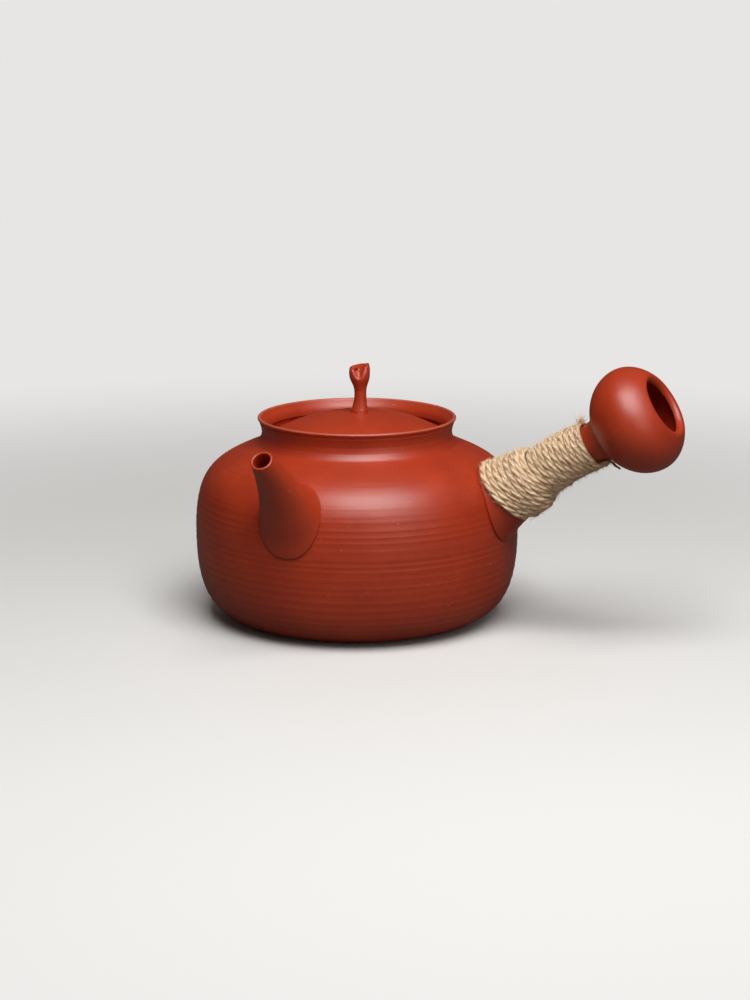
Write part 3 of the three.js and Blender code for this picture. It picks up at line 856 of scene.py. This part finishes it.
def slant_at(length):
    """How much longer a way straight out of the clay looks across the handle."""
    return np.hypot(1, np.interp(length, handle_out[:, 1], slope))


count = TWINE_TURNS * TURN_STEPS + 1
share = np.linspace(0, 1, count)
angle = TWINE_START_SIDE + 2 * math.pi * TWINE_TURNS * share
lean = (TWINE_START_LEAN + (TWINE_END_LEAN - TWINE_START_LEAN) * share) * np.cos(angle)
thread_line = handle_out + np.stack([THREAD_HEIGHT * np.hypot(1, slope), 0 * slope], 1)
way_up = way_along(thread_line)
first_way, last_way = np.interp((TWINE_START, TWINE_END), handle_out[:, 1], way_up)
length = np.interp(first_way + (last_way - first_way) * share, way_up, handle_out[:, 1])
length = length + lean + waver(count, SIDE_KNOTS, SIDE_WAVER)
# The loose end leaves the last turn and lies along the neck of the bulb
tail = np.linspace(0, 1, TAIL_STEPS + 1)[1:]
angle = np.append(angle, angle[-1] + TAIL_TURN * (2 * tail - tail ** 2))
length = np.append(length, length[-1] + TAIL_REACH * tail ** 2)
count += TAIL_STEPS
reach = clay_at(length) + THREAD_HEIGHT * slant_at(length) + np.abs(waver(count, RISE_KNOTS, RISE_WAVER))
thread = on_handle(reach, angle, length)
along_thread = way_along(thread)
print(f"thread {along_thread[-1] / 1000:.2f} m long in {TWINE_TURNS} turns")

# %% The two strands and their core
STRAND_WIDTH, STRAND_ASIDE, TWIST_LENGTH = 0.62, 0.6, 10.5
STRAND_SIDES, THICK_KNOTS, THICK_WAVER = 8, 330, 0.12
CORE_WIDTH, CORE_HEIGHT, CORE_SINK = 1.5, 0.56, 0.34
END_LENGTH, THINNEST, TAIL_THIN = 1.5, 0.05, 0.42


def framed(line):
    """Directions along a line, straight out of the clay, and across."""
    along = np.gradient(line, axis=0)
    along /= np.linalg.norm(along, axis=1)[:, None]
    way_on = (line - handle_root) @ handle_along
    out = line - on_axis(way_on[:, None])
    out /= np.linalg.norm(out, axis=1)[:, None]
    out -= np.interp(way_on, handle_out[:, 1], slope)[:, None] * handle_along
    out -= (out * along).sum(1)[:, None] * along
    out /= np.linalg.norm(out, axis=1)[:, None]
    return along, out, np.cross(along, out)


def tube(line, width, height, sides):
    """Rings of points round a line, from half its width and half its height."""
    along, out, across = framed(line)
    turn = np.linspace(0, 2 * math.pi, sides, endpoint=False)[None, :, None]
    width, height = (np.broadcast_to(half, len(line))[:, None, None] for half in (width, height))
    return line[:, None] + height * out[:, None] * np.cos(turn) + width * across[:, None] * np.sin(turn)


along, out, across = framed(thread)
twist = 2 * math.pi * along_thread / TWIST_LENGTH
from_end = np.minimum(along_thread, along_thread[-1] - along_thread)
ends = np.clip(from_end / END_LENGTH, THINNEST, 1) ** 0.5
ends[-TAIL_STEPS:] *= 1 - (1 - TAIL_THIN) * tail ** 0.5
strands = []
for strand in range(2):
    phase = (twist + math.pi * strand)[:, None]
    middle = thread + (out * STRAND_RISE * np.cos(phase) - across * STRAND_ASIDE * np.sin(phase)) * ends[:, None]
    thickness = (1 + waver(count, THICK_KNOTS, THICK_WAVER)) * ends
    strand_rings = tube(middle, STRAND_WIDTH * thickness, STRAND_HEIGHT * thickness, STRAND_SIDES)
    strands.append(wrapped(f"strand_{strand}", strand_rings.transpose(1, 0, 2), angle=180))
# Loose fibres fill the valley between the strands, so a plain core lies under them
core = tube(thread - out * CORE_SINK, CORE_WIDTH * ends, CORE_HEIGHT * ends, STRAND_SIDES)
strands.append(wrapped("strand_core", core.transpose(1, 0, 2), angle=180))
grip_twine = joined(strands)
grip_twine.name = grip_twine.data.name = "grip_twine"
print(f"{along_thread[-1] / TWIST_LENGTH:.0f} twists in the thread")

# %% [markdown]
# The finish paints shade into the valleys between the strands, so it has to know
# how deep in the twine a place lies. So each corner keeps a number, how high it
# stands: 0 on the clay and 1 on top of a strand. A shader reads it as an attribute.

# %% How high the twine stands
corners = np.zeros(len(grip_twine.data.vertices) * 3)
grip_twine.data.vertices.foreach_get("co", corners)
corners = corners.reshape(-1, 3) / MM
corner_length = (corners - handle_root) @ handle_along
corner_reach = np.linalg.norm(corners - on_axis(corner_length[:, None]), axis=1)
stands = (corner_reach - clay_at(corner_length)) / (2 * THREAD_HEIGHT * slant_at(corner_length))
grip_twine.data.attributes.new("stands", "FLOAT", "POINT").data.foreach_set("value", stands)
print("corners stand", np.percentile(stands, (5, 50, 95)).round(2))

# %% [markdown]
# ## Loose fibres
#
# Hemp is hairy. Short fibres stand off the thread all along, and where the
# twine's first end is tucked under the last turns a small brush of them stands
# up. Each fibre is a three-sided hair that thins to a point. There are about three
# thousand, far too many to model one by one with operators, so they are laid out
# as one mesh straight from their points.

# %% Fibres
LYING_FIBRES, STRAY_FIBRES, BRUSH_FIBRES = 2400, 500, 130
FIBRE_STEPS, FIBRE_SIDES, FIBRE_WIDTH, TIP_THIN, FIBRE_BEND = 5, 3, 0.07, 0.8, 0.35
CLEAR_OF_ENDS, ROOT_SWING, ROOT_DEPTH = 20, 1.3, 0.9
LYING_LIFT, LYING_SWAY, LYING_LENGTH, LYING_CURL = (0.04, 0.3), 0.3, (1.6, 4.5), 0.16
# The power makes most stray fibres short and a few long
STRAY_LIFT, STRAY_SWAY, STRAY_LENGTH, STRAY_POWER, STRAY_CURL = (0.2, 1), 0.8, (0.8, 1.4), 3.2, 0.6
BRUSH_SPREAD, BRUSH_SWAY, BRUSH_LEAN, BRUSH_LENGTH, BRUSH_CURL = 0.6, 0.55, 0.1, (1.2, 4.6), 0.8
BRUSH_PLACE, BRUSH_SIDE, BRUSH_RISE = 44.4, 0.15, 1.5


def fibre_line(root, way, length, curl):
    """A bent hair from its root."""
    bend = draw.normal(0, curl, 3)
    points = [root]
    for _ in range(FIBRE_STEPS):
        way = unit(way + bend * FIBRE_BEND)
        points.append(points[-1] + way * length / FIBRE_STEPS)
    return np.array(points)


fibre_points, fibre_faces = [], []


def lay_fibre(line, width):
    """Adds a hair to the lists of points and faces."""
    first = len(fibre_points)
    along = line[-1] - line[0]
    side = unit(np.cross(along, (0.3, 0.5, 0.8)))
    other = np.cross(unit(along), side)
    for step, point in enumerate(line):
        thin = width * (1 - TIP_THIN * step / FIBRE_STEPS)
        for corner in range(FIBRE_SIDES):
            turn = 2 * math.pi * corner / FIBRE_SIDES
            fibre_points.append(point + thin * (side * math.cos(turn) + other * math.sin(turn)))
    for step in range(FIBRE_STEPS):
        ring = first + FIBRE_SIDES * step
        for corner in range(FIBRE_SIDES):
            a, b = ring + corner, ring + (corner + 1) % FIBRE_SIDES
            fibre_faces.append((a, b, b + FIBRE_SIDES, a + FIBRE_SIDES))
    end = first + FIBRE_SIDES * FIBRE_STEPS
    fibre_faces.extend([(first + 2, first + 1, first), (end, end + 1, end + 2)])


for fibre in range(LYING_FIBRES + STRAY_FIBRES):
    place = int(draw.integers(CLEAR_OF_ENDS, count - CLEAR_OF_ENDS))
    turn = draw.uniform(-ROOT_SWING, ROOT_SWING)
    away = out[place] * math.cos(turn) + across[place] * math.sin(turn)
    root = thread[place] + away * THREAD_HEIGHT * ROOT_DEPTH
    if fibre < LYING_FIBRES:
        way = along[place] + away * draw.uniform(*LYING_LIFT) + across[place] * draw.normal(0, LYING_SWAY)
        hair_line = fibre_line(root, way, draw.uniform(*LYING_LENGTH), LYING_CURL)
    else:
        way = away * draw.uniform(*STRAY_LIFT) + along[place] * draw.normal(0, STRAY_SWAY)
        hair_line = fibre_line(root, way, draw.uniform(*STRAY_LENGTH) ** STRAY_POWER, STRAY_CURL)
    lay_fibre(hair_line, FIBRE_WIDTH * draw.uniform(0.5, 1.1))
brush_root = on_handle(clay_at(BRUSH_PLACE) + BRUSH_RISE, BRUSH_SIDE, BRUSH_PLACE)
for _ in range(BRUSH_FIBRES):
    way = handle_up + draw.normal(0, BRUSH_SWAY, 3) - handle_along * BRUSH_LEAN
    root = brush_root + draw.normal(0, BRUSH_SPREAD, 3) * (1, 1.5, 0.4)
    hair_line = fibre_line(root, way, draw.uniform(*BRUSH_LENGTH), BRUSH_CURL)
    lay_fibre(hair_line, FIBRE_WIDTH * draw.uniform(0.6, 1.2))
fibres_mesh = bpy.data.meshes.new("twine_fibres")
fibres_mesh.from_pydata((np.array(fibre_points) * MM).tolist(), [], fibre_faces)
twine_fibres = bpy.data.objects.new("twine_fibres", fibres_mesh)
scene.collection.objects.link(twine_fibres)
print(len(fibre_points) // (FIBRE_SIDES * (FIBRE_STEPS + 1)), "fibres")

# %% [markdown]
# ## The lid and its ring
#
# The lid is a low dome with a round edge. It lies loose on the ledge, a little
# off the middle as in the picture, and a ring below keeps it over the mouth.
# Both are thrown, so both are spun from an outline.

# %% The lid
LID_DRIFT = 1.2
LID_RADIUS, LID_EDGE, LID_WALL = gallery_radius - 2.1, 2.4, 2.8
LID_UNDERSIDE = LEDGE_HEIGHT + 0.3
LID_EDGE_TOP = LID_UNDERSIDE + LID_EDGE
CROWN_RISE, EDGE_PULL, CROWN_PULL = 7.5, 8, 19
CROWN = LID_EDGE_TOP + CROWN_RISE
RING_RADIUS, RING_WALL, RING_HEIGHT = MOUTH_RADIUS - 1.6, 2.2, 6.0
RING_INSIDE = RING_RADIUS - RING_WALL

edge_middle = LID_RADIUS - LID_EDGE / 2
edge_low, edge_high = np.array([edge_middle, LID_UNDERSIDE]), np.array([edge_middle, LID_EDGE_TOP])
dome = bezier(
    [edge_high, (edge_middle - EDGE_PULL, LID_EDGE_TOP + CROWN_RISE / 2), (CROWN_PULL, CROWN), (0, CROWN)], 70
)
hollow_top = CROWN - LID_WALL
hollow = bezier([(0, hollow_top), (RING_INSIDE / 2, hollow_top), (RING_INSIDE, LID_UNDERSIDE)], 24)
lid_outline = chained(
    hollow,
    [(RING_RADIUS + 1, LID_UNDERSIDE), edge_low],
    round_edge(edge_low, edge_high, 12),
    dome,
)
lid_dome = thrown("lid_dome", lid_outline, centre=(LID_DRIFT, 0, 0))

# %% The ring below it
RING_TAPER, RING_DRAW, RING_STRAIGHT, RING_FOOT = 0.5, 0.2, 2.0, 1.0
ring_top = LID_UNDERSIDE
ring_bottom = LEDGE_HEIGHT - RING_HEIGHT
foot_outside = np.array([RING_RADIUS - RING_TAPER, ring_bottom + RING_FOOT])
foot_inside = np.array([RING_INSIDE, ring_bottom + RING_FOOT])
ring_side = (RING_RADIUS - RING_DRAW, ring_top - RING_STRAIGHT)
ring_outline = chained(
    [ring_side, (RING_RADIUS, ring_top), (RING_INSIDE, ring_top)],
    [(RING_INSIDE, ring_top - RING_STRAIGHT), foot_inside],
    round_edge(foot_inside, foot_outside, 8),
    [foot_outside, ring_side],
)
lid_ring = thrown("ring_below_lid", ring_outline, centre=(LID_DRIFT, 0, 0))

# %% [markdown]
# ## The knob
#
# The knob is modelled like the cut stem of a fruit: a flared foot, a thin stalk,
# and a head whose top is pressed in. On the front the rim dips in a sharp V, and
# a slanting fold of clay lies over the hollow, so that only a small deep spot is
# left beside it. It is shaped by hand, so it is wrapped over lines like the
# spout, and nothing about it is quite round.

# %% The knob's lines
KNOB_RIM_DIP, KNOB_DIP_SHARPNESS, KNOB_RIM_SLANT = 4.1, 9, 1.2
KNOB_OPEN_SIDE, KNOB_LOW_SIDE = math.radians(-70), math.radians(-136)
KNOB_CORNER_SIDE, KNOB_SOFT_SIDE = math.radians(36), math.radians(-22)
CORNER_SHARPNESS, CORNER_FROM, CORNER_CLIMB, CORNER_RISE, CORNER_SPREAD = 34, 15, 4, 0.4, 0.05
SOFT_FROM, SOFT_CLIMB, SOFT_DRAW = 17.2, 2.2, 0.4
KNOB_LEAN, KNOB_LEAN_SIDE = 0.35, math.radians(24)
KNOB_LINES = 96
# (radius, height, share of the rim's drop) from under the foot to the rim's inner edge
knob_levels = np.array([
    (0.01, 0.0, 0.0),
    (3.3, 0.0, 0.0),
    (3.52, 0.3, 0.0),
    (3.5, 0.85, 0.0),
    (3.28, 1.5, 0.0),
    (3.0, 2.6, 0.0),
    (2.7, 4.2, 0.0),
    (2.52, 6.0, 0.0),
    (2.47, 8.0, 0.0),
    (2.6, 9.7, 0.02),
    (3.05, 11.4, 0.08),
    (3.7, 13.2, 0.2),
    (4.05, 14.8, 0.35),
    (4.15, 16.3, 0.52),
    (4.1, 17.8, 0.75),
    (4.02, 18.9, 0.95),
    (3.85, 19.42, 1.0),
    (3.5, 19.6, 1.0),
    (3.2, 19.45, 1.0),
])


def smoothed(levels, steps):
    """A curve through the levels, with a count of steps between each two."""
    padded = np.concatenate([levels[:1], levels, levels[-1:]])
    rows = []
    for a, b, c, d in zip(padded, padded[1:], padded[2:], padded[3:]):
        first, second, third = c - a, 2 * a - 5 * b + 4 * c - d, 3 * b - a - 3 * c + d
        rows.extend(b + (first * t + second * t ** 2 + third * t ** 3) / 2 for t in np.arange(steps) / steps)
    return np.array(rows + [levels[-1]])


knob_rows = smoothed(knob_levels, 5)
turn = np.linspace(0, 2 * math.pi, KNOB_LINES, endpoint=False)[:, None]


def nearness(side):
    """1 on one side of the knob and 0 on the other."""
    return (1 + np.cos(turn - side)) / 2


def eased(share):
    """0 to 1 with soft ends."""
    share = np.clip(share, 0, 1)
    return share * share * (3 - 2 * share)


rim_drop = KNOB_RIM_DIP * nearness(KNOB_OPEN_SIDE) ** KNOB_DIP_SHARPNESS
rim_drop += KNOB_RIM_SLANT * nearness(KNOB_LOW_SIDE)
radius, level, share = (np.maximum(column, 0.0)[None, :] for column in knob_rows.T)
raised = np.clip((level - CORNER_FROM) / CORNER_CLIMB, 0, 1) * nearness(KNOB_CORNER_SIDE) ** CORNER_SHARPNESS
outer_height = level - rim_drop * share + CORNER_RISE * raised
softened = nearness(KNOB_SOFT_SIDE) ** 3 * eased((level - SOFT_FROM) / SOFT_CLIMB)
outer_radius = radius * (1 + CORNER_SPREAD * raised) - SOFT_DRAW * softened
print(f"the knob's rim dips {rim_drop.max():.1f} mm on the open side")

# %% The knob's hollow
# The hollow slopes from the rim to its middle, deepest close behind the low side
HOLLOW_MIDDLE, HOLLOW_DROP, DROP_EASE, DROP_TO, DROP_FADE = 18.0, 0.4, 0.16, 0.3, 0.5
FOLD_FROM, FOLD_TO = np.array([-2.5, 1.5]), np.array([1.1, -2.4])
FOLD_STEP, FOLD_EDGE, FOLD_RIM, FOLD_FRONT, FOLD_FADE = 1.5, 0.45, 0.12, 2.2, 3.4
FOLD_UNDERCUT, TUCK_WIDTH, TUCK_FROM, TUCK_EASE = 0.75, 1.4, 0.1, 0.2
TIP_RADIUS = knob_levels[0, 0]
inward = np.linspace(0, 1, 30)[None, 1:]
inner_radius = (outer_radius[:, -1:] - TIP_RADIUS) * (1 - inward) + TIP_RADIUS
rim_height = outer_height[:, -1:]
inner_height = rim_height + (HOLLOW_MIDDLE - rim_height) * eased(inward ** 0.8)
behind = nearness(KNOB_LOW_SIDE)
inner_height -= HOLLOW_DROP * behind ** 2 * eased(inward / DROP_EASE) * (1 - eased((inward - DROP_TO) / DROP_FADE))
across_view = inner_radius * np.cos(turn - TURN)
into_view = inner_radius * np.sin(turn - TURN)
fold_way = unit(FOLD_TO - FOLD_FROM)
before_fold = (across_view - FOLD_FROM[0]) * fold_way[1] - (into_view - FOLD_FROM[1]) * fold_way[0]
under_fold = eased(before_fold / FOLD_EDGE) * eased(inward / FOLD_RIM)
under_fold = under_fold * eased((into_view + FOLD_FRONT) / FOLD_FADE)
inner_height -= FOLD_STEP * under_fold
tucked = FOLD_UNDERCUT * under_fold * (1 - eased(before_fold / TUCK_WIDTH)) * eased((inward - TUCK_FROM) / TUCK_EASE)
print(f"the hollow reaches {(rim_height.max() - inner_height.min()):.1f} mm below the rim")

# %% The whole knob
OVAL, OVAL_TWIST, THREE_SIDED = 0.018, 0.35, 0.012
LEAN_HEIGHT = 16
radius = np.concatenate([outer_radius + 0 * turn, inner_radius], 1)
level = np.concatenate([outer_height, inner_height], 1)
unround = 1 + OVAL * np.cos(2 * turn + OVAL_TWIST * level) + THREE_SIDED * np.cos(3 * turn + 1)
lean = KNOB_LEAN * np.sin(math.pi * np.clip(level / LEAN_HEIGHT, 0, 1))
knob_lines = np.stack([
    LID_DRIFT + radius * unround * np.cos(turn) + lean * math.cos(KNOB_LEAN_SIDE),
    radius * unround * np.sin(turn) + lean * math.sin(KNOB_LEAN_SIDE),
    CROWN + level,
], 2)
# The clay below the fold is tucked in under it
tuck_side = TURN + math.atan2(fold_way[0], -fold_way[1])
tuck_way = np.array([math.cos(tuck_side), math.sin(tuck_side)])
knob_lines[:, -inner_height.shape[1]:, :2] += tucked[:, :, None] * tuck_way
lid_knob = wrapped("knob_on_lid", knob_lines)

# %% [markdown]
# ## Finishes
#
# Two materials cover the whole pot: unglazed red clay, polished until it has a
# soft satin shine, and raw hemp. The clay is cloudy on the scale of a fingertip,
# sandy up close, and holds a few pale grains, and wherever a tool ran round it on
# the wheel it has fine lines. Several pieces share it, so it is built from two
# small node groups, each of which makes one effect and puts out only values that
# change over the surface. What is the same all over is set on the shader itself.

# %% Small tools for finishes


def paint(red, green, blue):
    """A colour as a picture shows it, 0 to 255, for a shader."""
    parts = [c / 255 for c in (red, green, blue)]
    return tuple(c / 12.92 if c <= 0.04045 else ((c + 0.055) / 1.055) ** 2.4 for c in parts) + (1,)


def in_millimetres(tree, **mapping):
    """The place on a piece in millimetres, turned or moved if asked."""
    here = add(tree, "ShaderNodeTexCoord").outputs["Object"]
    settings = {"Vector": here, "Scale": (1 / MM, 1 / MM, 1 / MM), **mapping}
    return add(tree, "ShaderNodeMapping", settings).outputs[0]


def noise(tree, place, scale, detail=2.0, rough=0.5):
    """Soft random values from 0 to 1."""
    settings = {"Vector": place, "Scale": scale, "Detail": detail, "Roughness": rough}
    return add(tree, "ShaderNodeTexNoise", settings).outputs["Fac"]


def effect(name, takes, gives):
    """An empty node group with named inputs and outputs."""
    tree = bpy.data.node_groups.new(name, "ShaderNodeTree")
    for socket, kind in takes:
        tree.interface.new_socket(socket, in_out="INPUT", socket_type=kind)
    for socket in gives:
        tree.interface.new_socket(socket, in_out="OUTPUT", socket_type="NodeSocketFloat")
    return tree, tree.nodes.new("NodeGroupInput").outputs, tree.nodes.new("NodeGroupOutput").inputs


# %% [markdown]
# ### Lines from the wheel
#
# A rib held against the turning clay leaves long lines that run all the way
# round. They are noise, stretched: quick across the lines and very slow along
# them. The group is told how far across the lines a point lies, which is its
# height on the pot, its distance from the middle on the lid, and its place along
# the axis on the handle.

# %% The wheel-line group
wheel_lines, taken, given = effect(
    "wheel_lines", [("Across", "NodeSocketFloat"), ("Place", "NodeSocketVector")], ["Height", "Streaks"]
)
parts = add(wheel_lines, "ShaderNodeSeparateXYZ", {0: taken["Place"]}).outputs


def stretched(across_rate, along_rate, detail):
    """Noise that is quick across the lines and slow along them."""
    axes = [sum_up(wheel_lines, "MULTIPLY", taken["Across"], across_rate)]
    axes += [sum_up(wheel_lines, "MULTIPLY", parts[axis], along_rate) for axis in (0, 1)]
    place = add(wheel_lines, "ShaderNodeCombineXYZ", dict(enumerate(axes))).outputs[0]
    return noise(wheel_lines, place, 1.0, detail)


BROAD_SHARE, FINE_SHARE = 0.7, 0.3
broad = stretched(across_rate=1.05, along_rate=0.018, detail=1.0)
fine = stretched(across_rate=3.4, along_rate=0.03, detail=2.0)
both = [sum_up(wheel_lines, "MULTIPLY", *lines) for lines in ((broad, BROAD_SHARE), (fine, FINE_SHARE))]
wheel_lines.links.new(sum_up(wheel_lines, "ADD", *both), given["Height"])
wheel_lines.links.new(spread(wheel_lines, fine, 0.35, 0.65), given["Streaks"])
print("effect:", wheel_lines.name, "with", len(wheel_lines.nodes), "nodes")

# %% [markdown]
# ### The clay itself
#
# Fired clay is never one colour. Clouds come from the kiln, the sandy grain from
# the clay, and the pale dots are single grains of quartz.

# %% The clay group
CELLS_PER_MM, DOT_CHANCE, DOT_SMALLEST, DOT_LARGEST = 0.42, 0.14, 0.03, 0.085
clay_body, taken, given = effect("clay_body", [("Place", "NodeSocketVector")], ["Clouds", "Grain", "Dots"])
clouds = noise(clay_body, taken["Place"], scale=0.045, detail=3.0, rough=0.55)
grain = noise(clay_body, taken["Place"], scale=2.6, detail=3.0, rough=0.65)
cells = add(clay_body, "ShaderNodeTexVoronoi", {"Vector": taken["Place"], "Scale": CELLS_PER_MM}, feature="F1")
chosen = add(clay_body, "ShaderNodeSeparateColor", {0: cells.outputs["Color"]}).outputs
picked = sum_up(clay_body, "GREATER_THAN", chosen[0], 1 - DOT_CHANCE)
size = spread(clay_body, chosen[1], 0, 1, DOT_SMALLEST, DOT_LARGEST)
near = sum_up(clay_body, "LESS_THAN", cells.outputs["Distance"], size)
clay_body.links.new(spread(clay_body, clouds, 0.3, 0.7), given["Clouds"])
clay_body.links.new(spread(clay_body, grain, 0.25, 0.75), given["Grain"])
clay_body.links.new(sum_up(clay_body, "MULTIPLY", picked, near), given["Dots"])
print("effect:", clay_body.name, "with", len(clay_body.nodes), "nodes")

# %% The clay finish
CLAY_DEEP, CLAY_WARM = paint(161, 42, 12), paint(182, 55, 17)
# The pale pink just under the rim is a painted highlight along the lip, broken up by the grain
CLAY_SAND, CLAY_DOT, CLAY_LIP_HIGHLIGHT = paint(202, 88, 46), paint(236, 184, 152), paint(232, 146, 118)
SAND_SHARE, STREAK_SHARE, LIP_HIGHLIGHT_SHARE, DOT_SHARE = 0.38, 0.32, 0.5, 0.8
GRAIN_HEIGHT, LIP_HIGHLIGHT_FROM, LIP_HIGHLIGHT_HEIGHT = 0.02, RIM_HEIGHT - 0.75, 0.5
SMOOTHEST, ROUGHEST, CLAY_SPECULAR = 0.33, 0.47, 0.75


def clay_finish(name, across, line_depth, turned=(0, 0, 0), centre=(0, 0, 0), lip_highlight_above=None):
    """Red clay, with a painted highlight along the rim if asked. across says where the wheel lines lie: height or
    radius.
    """
    material, tree, shader = new_finish(name)
    place = in_millimetres(tree, Rotation=turned, Location=centre)
    axes = add(tree, "ShaderNodeSeparateXYZ", {0: place}).outputs
    if across == "height":
        lie = axes[2]
    else:
        squares = [sum_up(tree, "MULTIPLY", axes[axis], axes[axis]) for axis in (0, 1)]
        lie = sum_up(tree, "SQRT", sum_up(tree, "ADD", *squares))
    lines = add(tree, "ShaderNodeGroup", {"Across": lie, "Place": place}, node_tree=wheel_lines).outputs
    clay = add(tree, "ShaderNodeGroup", {"Place": place}, node_tree=clay_body).outputs
    colour = blend(tree, clay["Clouds"], CLAY_DEEP, CLAY_WARM)
    colour = blend(tree, spread(tree, clay["Grain"], 0.45, 1.0, 0.0, SAND_SHARE), colour, CLAY_SAND)
    if line_depth:
        colour = blend(tree, sum_up(tree, "MULTIPLY", lines["Streaks"], STREAK_SHARE), colour, CLAY_DEEP)
    # Painted highlight: towards the rim the colour turns pale pink, in patches where the grain is high
    if lip_highlight_above:
        lip_highlight_mask = spread(tree, axes[2], lip_highlight_above, lip_highlight_above + LIP_HIGHLIGHT_HEIGHT, 0.0, LIP_HIGHLIGHT_SHARE)
        colour = blend(tree, sum_up(tree, "MULTIPLY", lip_highlight_mask, clay["Grain"]), colour, CLAY_LIP_HIGHLIGHT)
    colour = blend(tree, sum_up(tree, "MULTIPLY", clay["Dots"], DOT_SHARE), colour, CLAY_DOT)
    tree.links.new(colour, shader.inputs["Base Color"])
    tree.links.new(spread(tree, clay["Grain"], 0, 1, SMOOTHEST, ROUGHEST), shader.inputs["Roughness"])
    shader.inputs["Specular IOR Level"].default_value = CLAY_SPECULAR
    relief = sum_up(tree, "MULTIPLY", clay["Grain"], GRAIN_HEIGHT)
    relief = sum_up(tree, "ADD", relief, sum_up(tree, "MULTIPLY", lines["Height"], line_depth))
    bump = add(tree, "ShaderNodeBump", {"Height": relief, "Distance": MM, "Strength": 1.0})
    tree.links.new(bump.outputs[0], shader.inputs["Normal"])
    print("finish:", name)
    return material


pot_clay = clay_finish("thrown_clay", "height", line_depth=0.085, lip_highlight_above=LIP_HIGHLIGHT_FROM)
lid_clay = clay_finish("lid_clay", "radius", line_depth=0.025, centre=(-LID_DRIFT, 0, 0))
spout_clay = clay_finish("hand_smoothed_clay", "height", line_depth=0.0)
handle_clay = clay_finish("handle_clay", "height", line_depth=0.012, turned=(0, HANDLE_LIFT - math.pi / 2, 0))

# %% [markdown]
# ### Hemp
#
# Each strand is spun from fibres that wind round it. The grid that a strand was
# wrapped from still has its flat map, one way round the strand and one way along
# it, so the fibres are slanted stripes on that map. The straw colour drifts
# along the thread, and the valleys between the strands get a painted shade.

# %% The hemp finish
# The dark brown is both a tone that drifts along the thread and the painted shade in the valleys
HEMP_PALE, HEMP_STRAW, HEMP_BROWN_AND_PAINTED_SHADE = paint(255, 240, 208), paint(206, 154, 104), paint(114, 62, 26)
FIBRES_ROUND, FIBRES_LEAN, FIBRES_STRETCH = 7.0, 0.7, 0.42
DRIFT_SHARE, FIBRE_RELIEF = 0.55, 0.16
HEMP_ROUGHNESS, HAIR_ROUGHNESS = 0.5, 0.8

hemp, tree, shader = new_finish("hemp_twine")
flat = add(tree, "ShaderNodeTexCoord").outputs["UV"]
axes = add(tree, "ShaderNodeSeparateXYZ", {0: flat}).outputs
down = sum_up(tree, "MULTIPLY", axes[1], along_thread[-1])
leaning = [sum_up(tree, "MULTIPLY", axes[0], FIBRES_ROUND), sum_up(tree, "MULTIPLY", down, FIBRES_LEAN)]
winding = sum_up(tree, "ADD", *leaning)
stripes = {0: winding, 1: sum_up(tree, "MULTIPLY", down, FIBRES_STRETCH)}
fibre = noise(tree, add(tree, "ShaderNodeCombineXYZ", stripes).outputs[0], 1.3, 3.0, 0.65)
drift = noise(tree, in_millimetres(tree), scale=0.35, detail=3.0, rough=0.6)
stands = add(tree, "ShaderNodeAttribute", attribute_name="stands").outputs["Fac"]
colour = blend(tree, spread(tree, fibre, 0.34, 0.66), HEMP_STRAW, HEMP_PALE)
colour = blend(tree, spread(tree, drift, 0.5, 0.8, 0.0, DRIFT_SHARE), colour, HEMP_BROWN_AND_PAINTED_SHADE)
# Painted shade: deep in the twine, between the strands, the colour goes dark brown
colour = blend(tree, spread(tree, stands, 0.2, 0.7), HEMP_BROWN_AND_PAINTED_SHADE, colour)
tree.links.new(colour, shader.inputs["Base Color"])
shader.inputs["Roughness"].default_value = HEMP_ROUGHNESS
bump = add(tree, "ShaderNodeBump", {"Height": fibre, "Distance": FIBRE_RELIEF * MM, "Strength": 1.0})
tree.links.new(bump.outputs[0], shader.inputs["Normal"])

hair, tree, shader = new_finish("hemp_hair")
colour = blend(tree, spread(tree, noise(tree, in_millimetres(tree), 0.9), 0.3, 0.7), HEMP_STRAW, HEMP_PALE)
tree.links.new(colour, shader.inputs["Base Color"])
shader.inputs["Roughness"].default_value = HAIR_ROUGHNESS
print("finishes:", hemp.name, "and", hair.name)

# %% [markdown]
# ## Putting it together
#
# Each fine piece stands for its CAD solid, takes its finish, and rides on the
# body that moves it: the lid, its ring and its knob on the lid's body, and all
# the rest on the pot's.

# %% Riders, stand-ins and finishes
for piece, body, node, material, slot in (
    (pot_shell, "pot", "pot_body", pot_clay, "red_clay"),
    (spout_pipe, "pot", "spout", spout_clay, "red_clay"),
    (side_handle, "pot", "handle", handle_clay, "red_clay"),
    (grip_twine, "pot", "twine_wrap", hemp, "twine"),
    (twine_fibres, "pot", None, hair, "twine"),
    (lid_dome, "lid_assembly", "lid", lid_clay, "red_clay"),
    (lid_ring, "lid_assembly", "lid_ring", lid_clay, "red_clay"),
    (lid_knob, "lid_assembly", "lid_knob", spout_clay, "red_clay"),
):
    piece.data.materials.clear()
    piece.data.materials.append(material)
    if node:
        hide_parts(node)
    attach(piece, body)
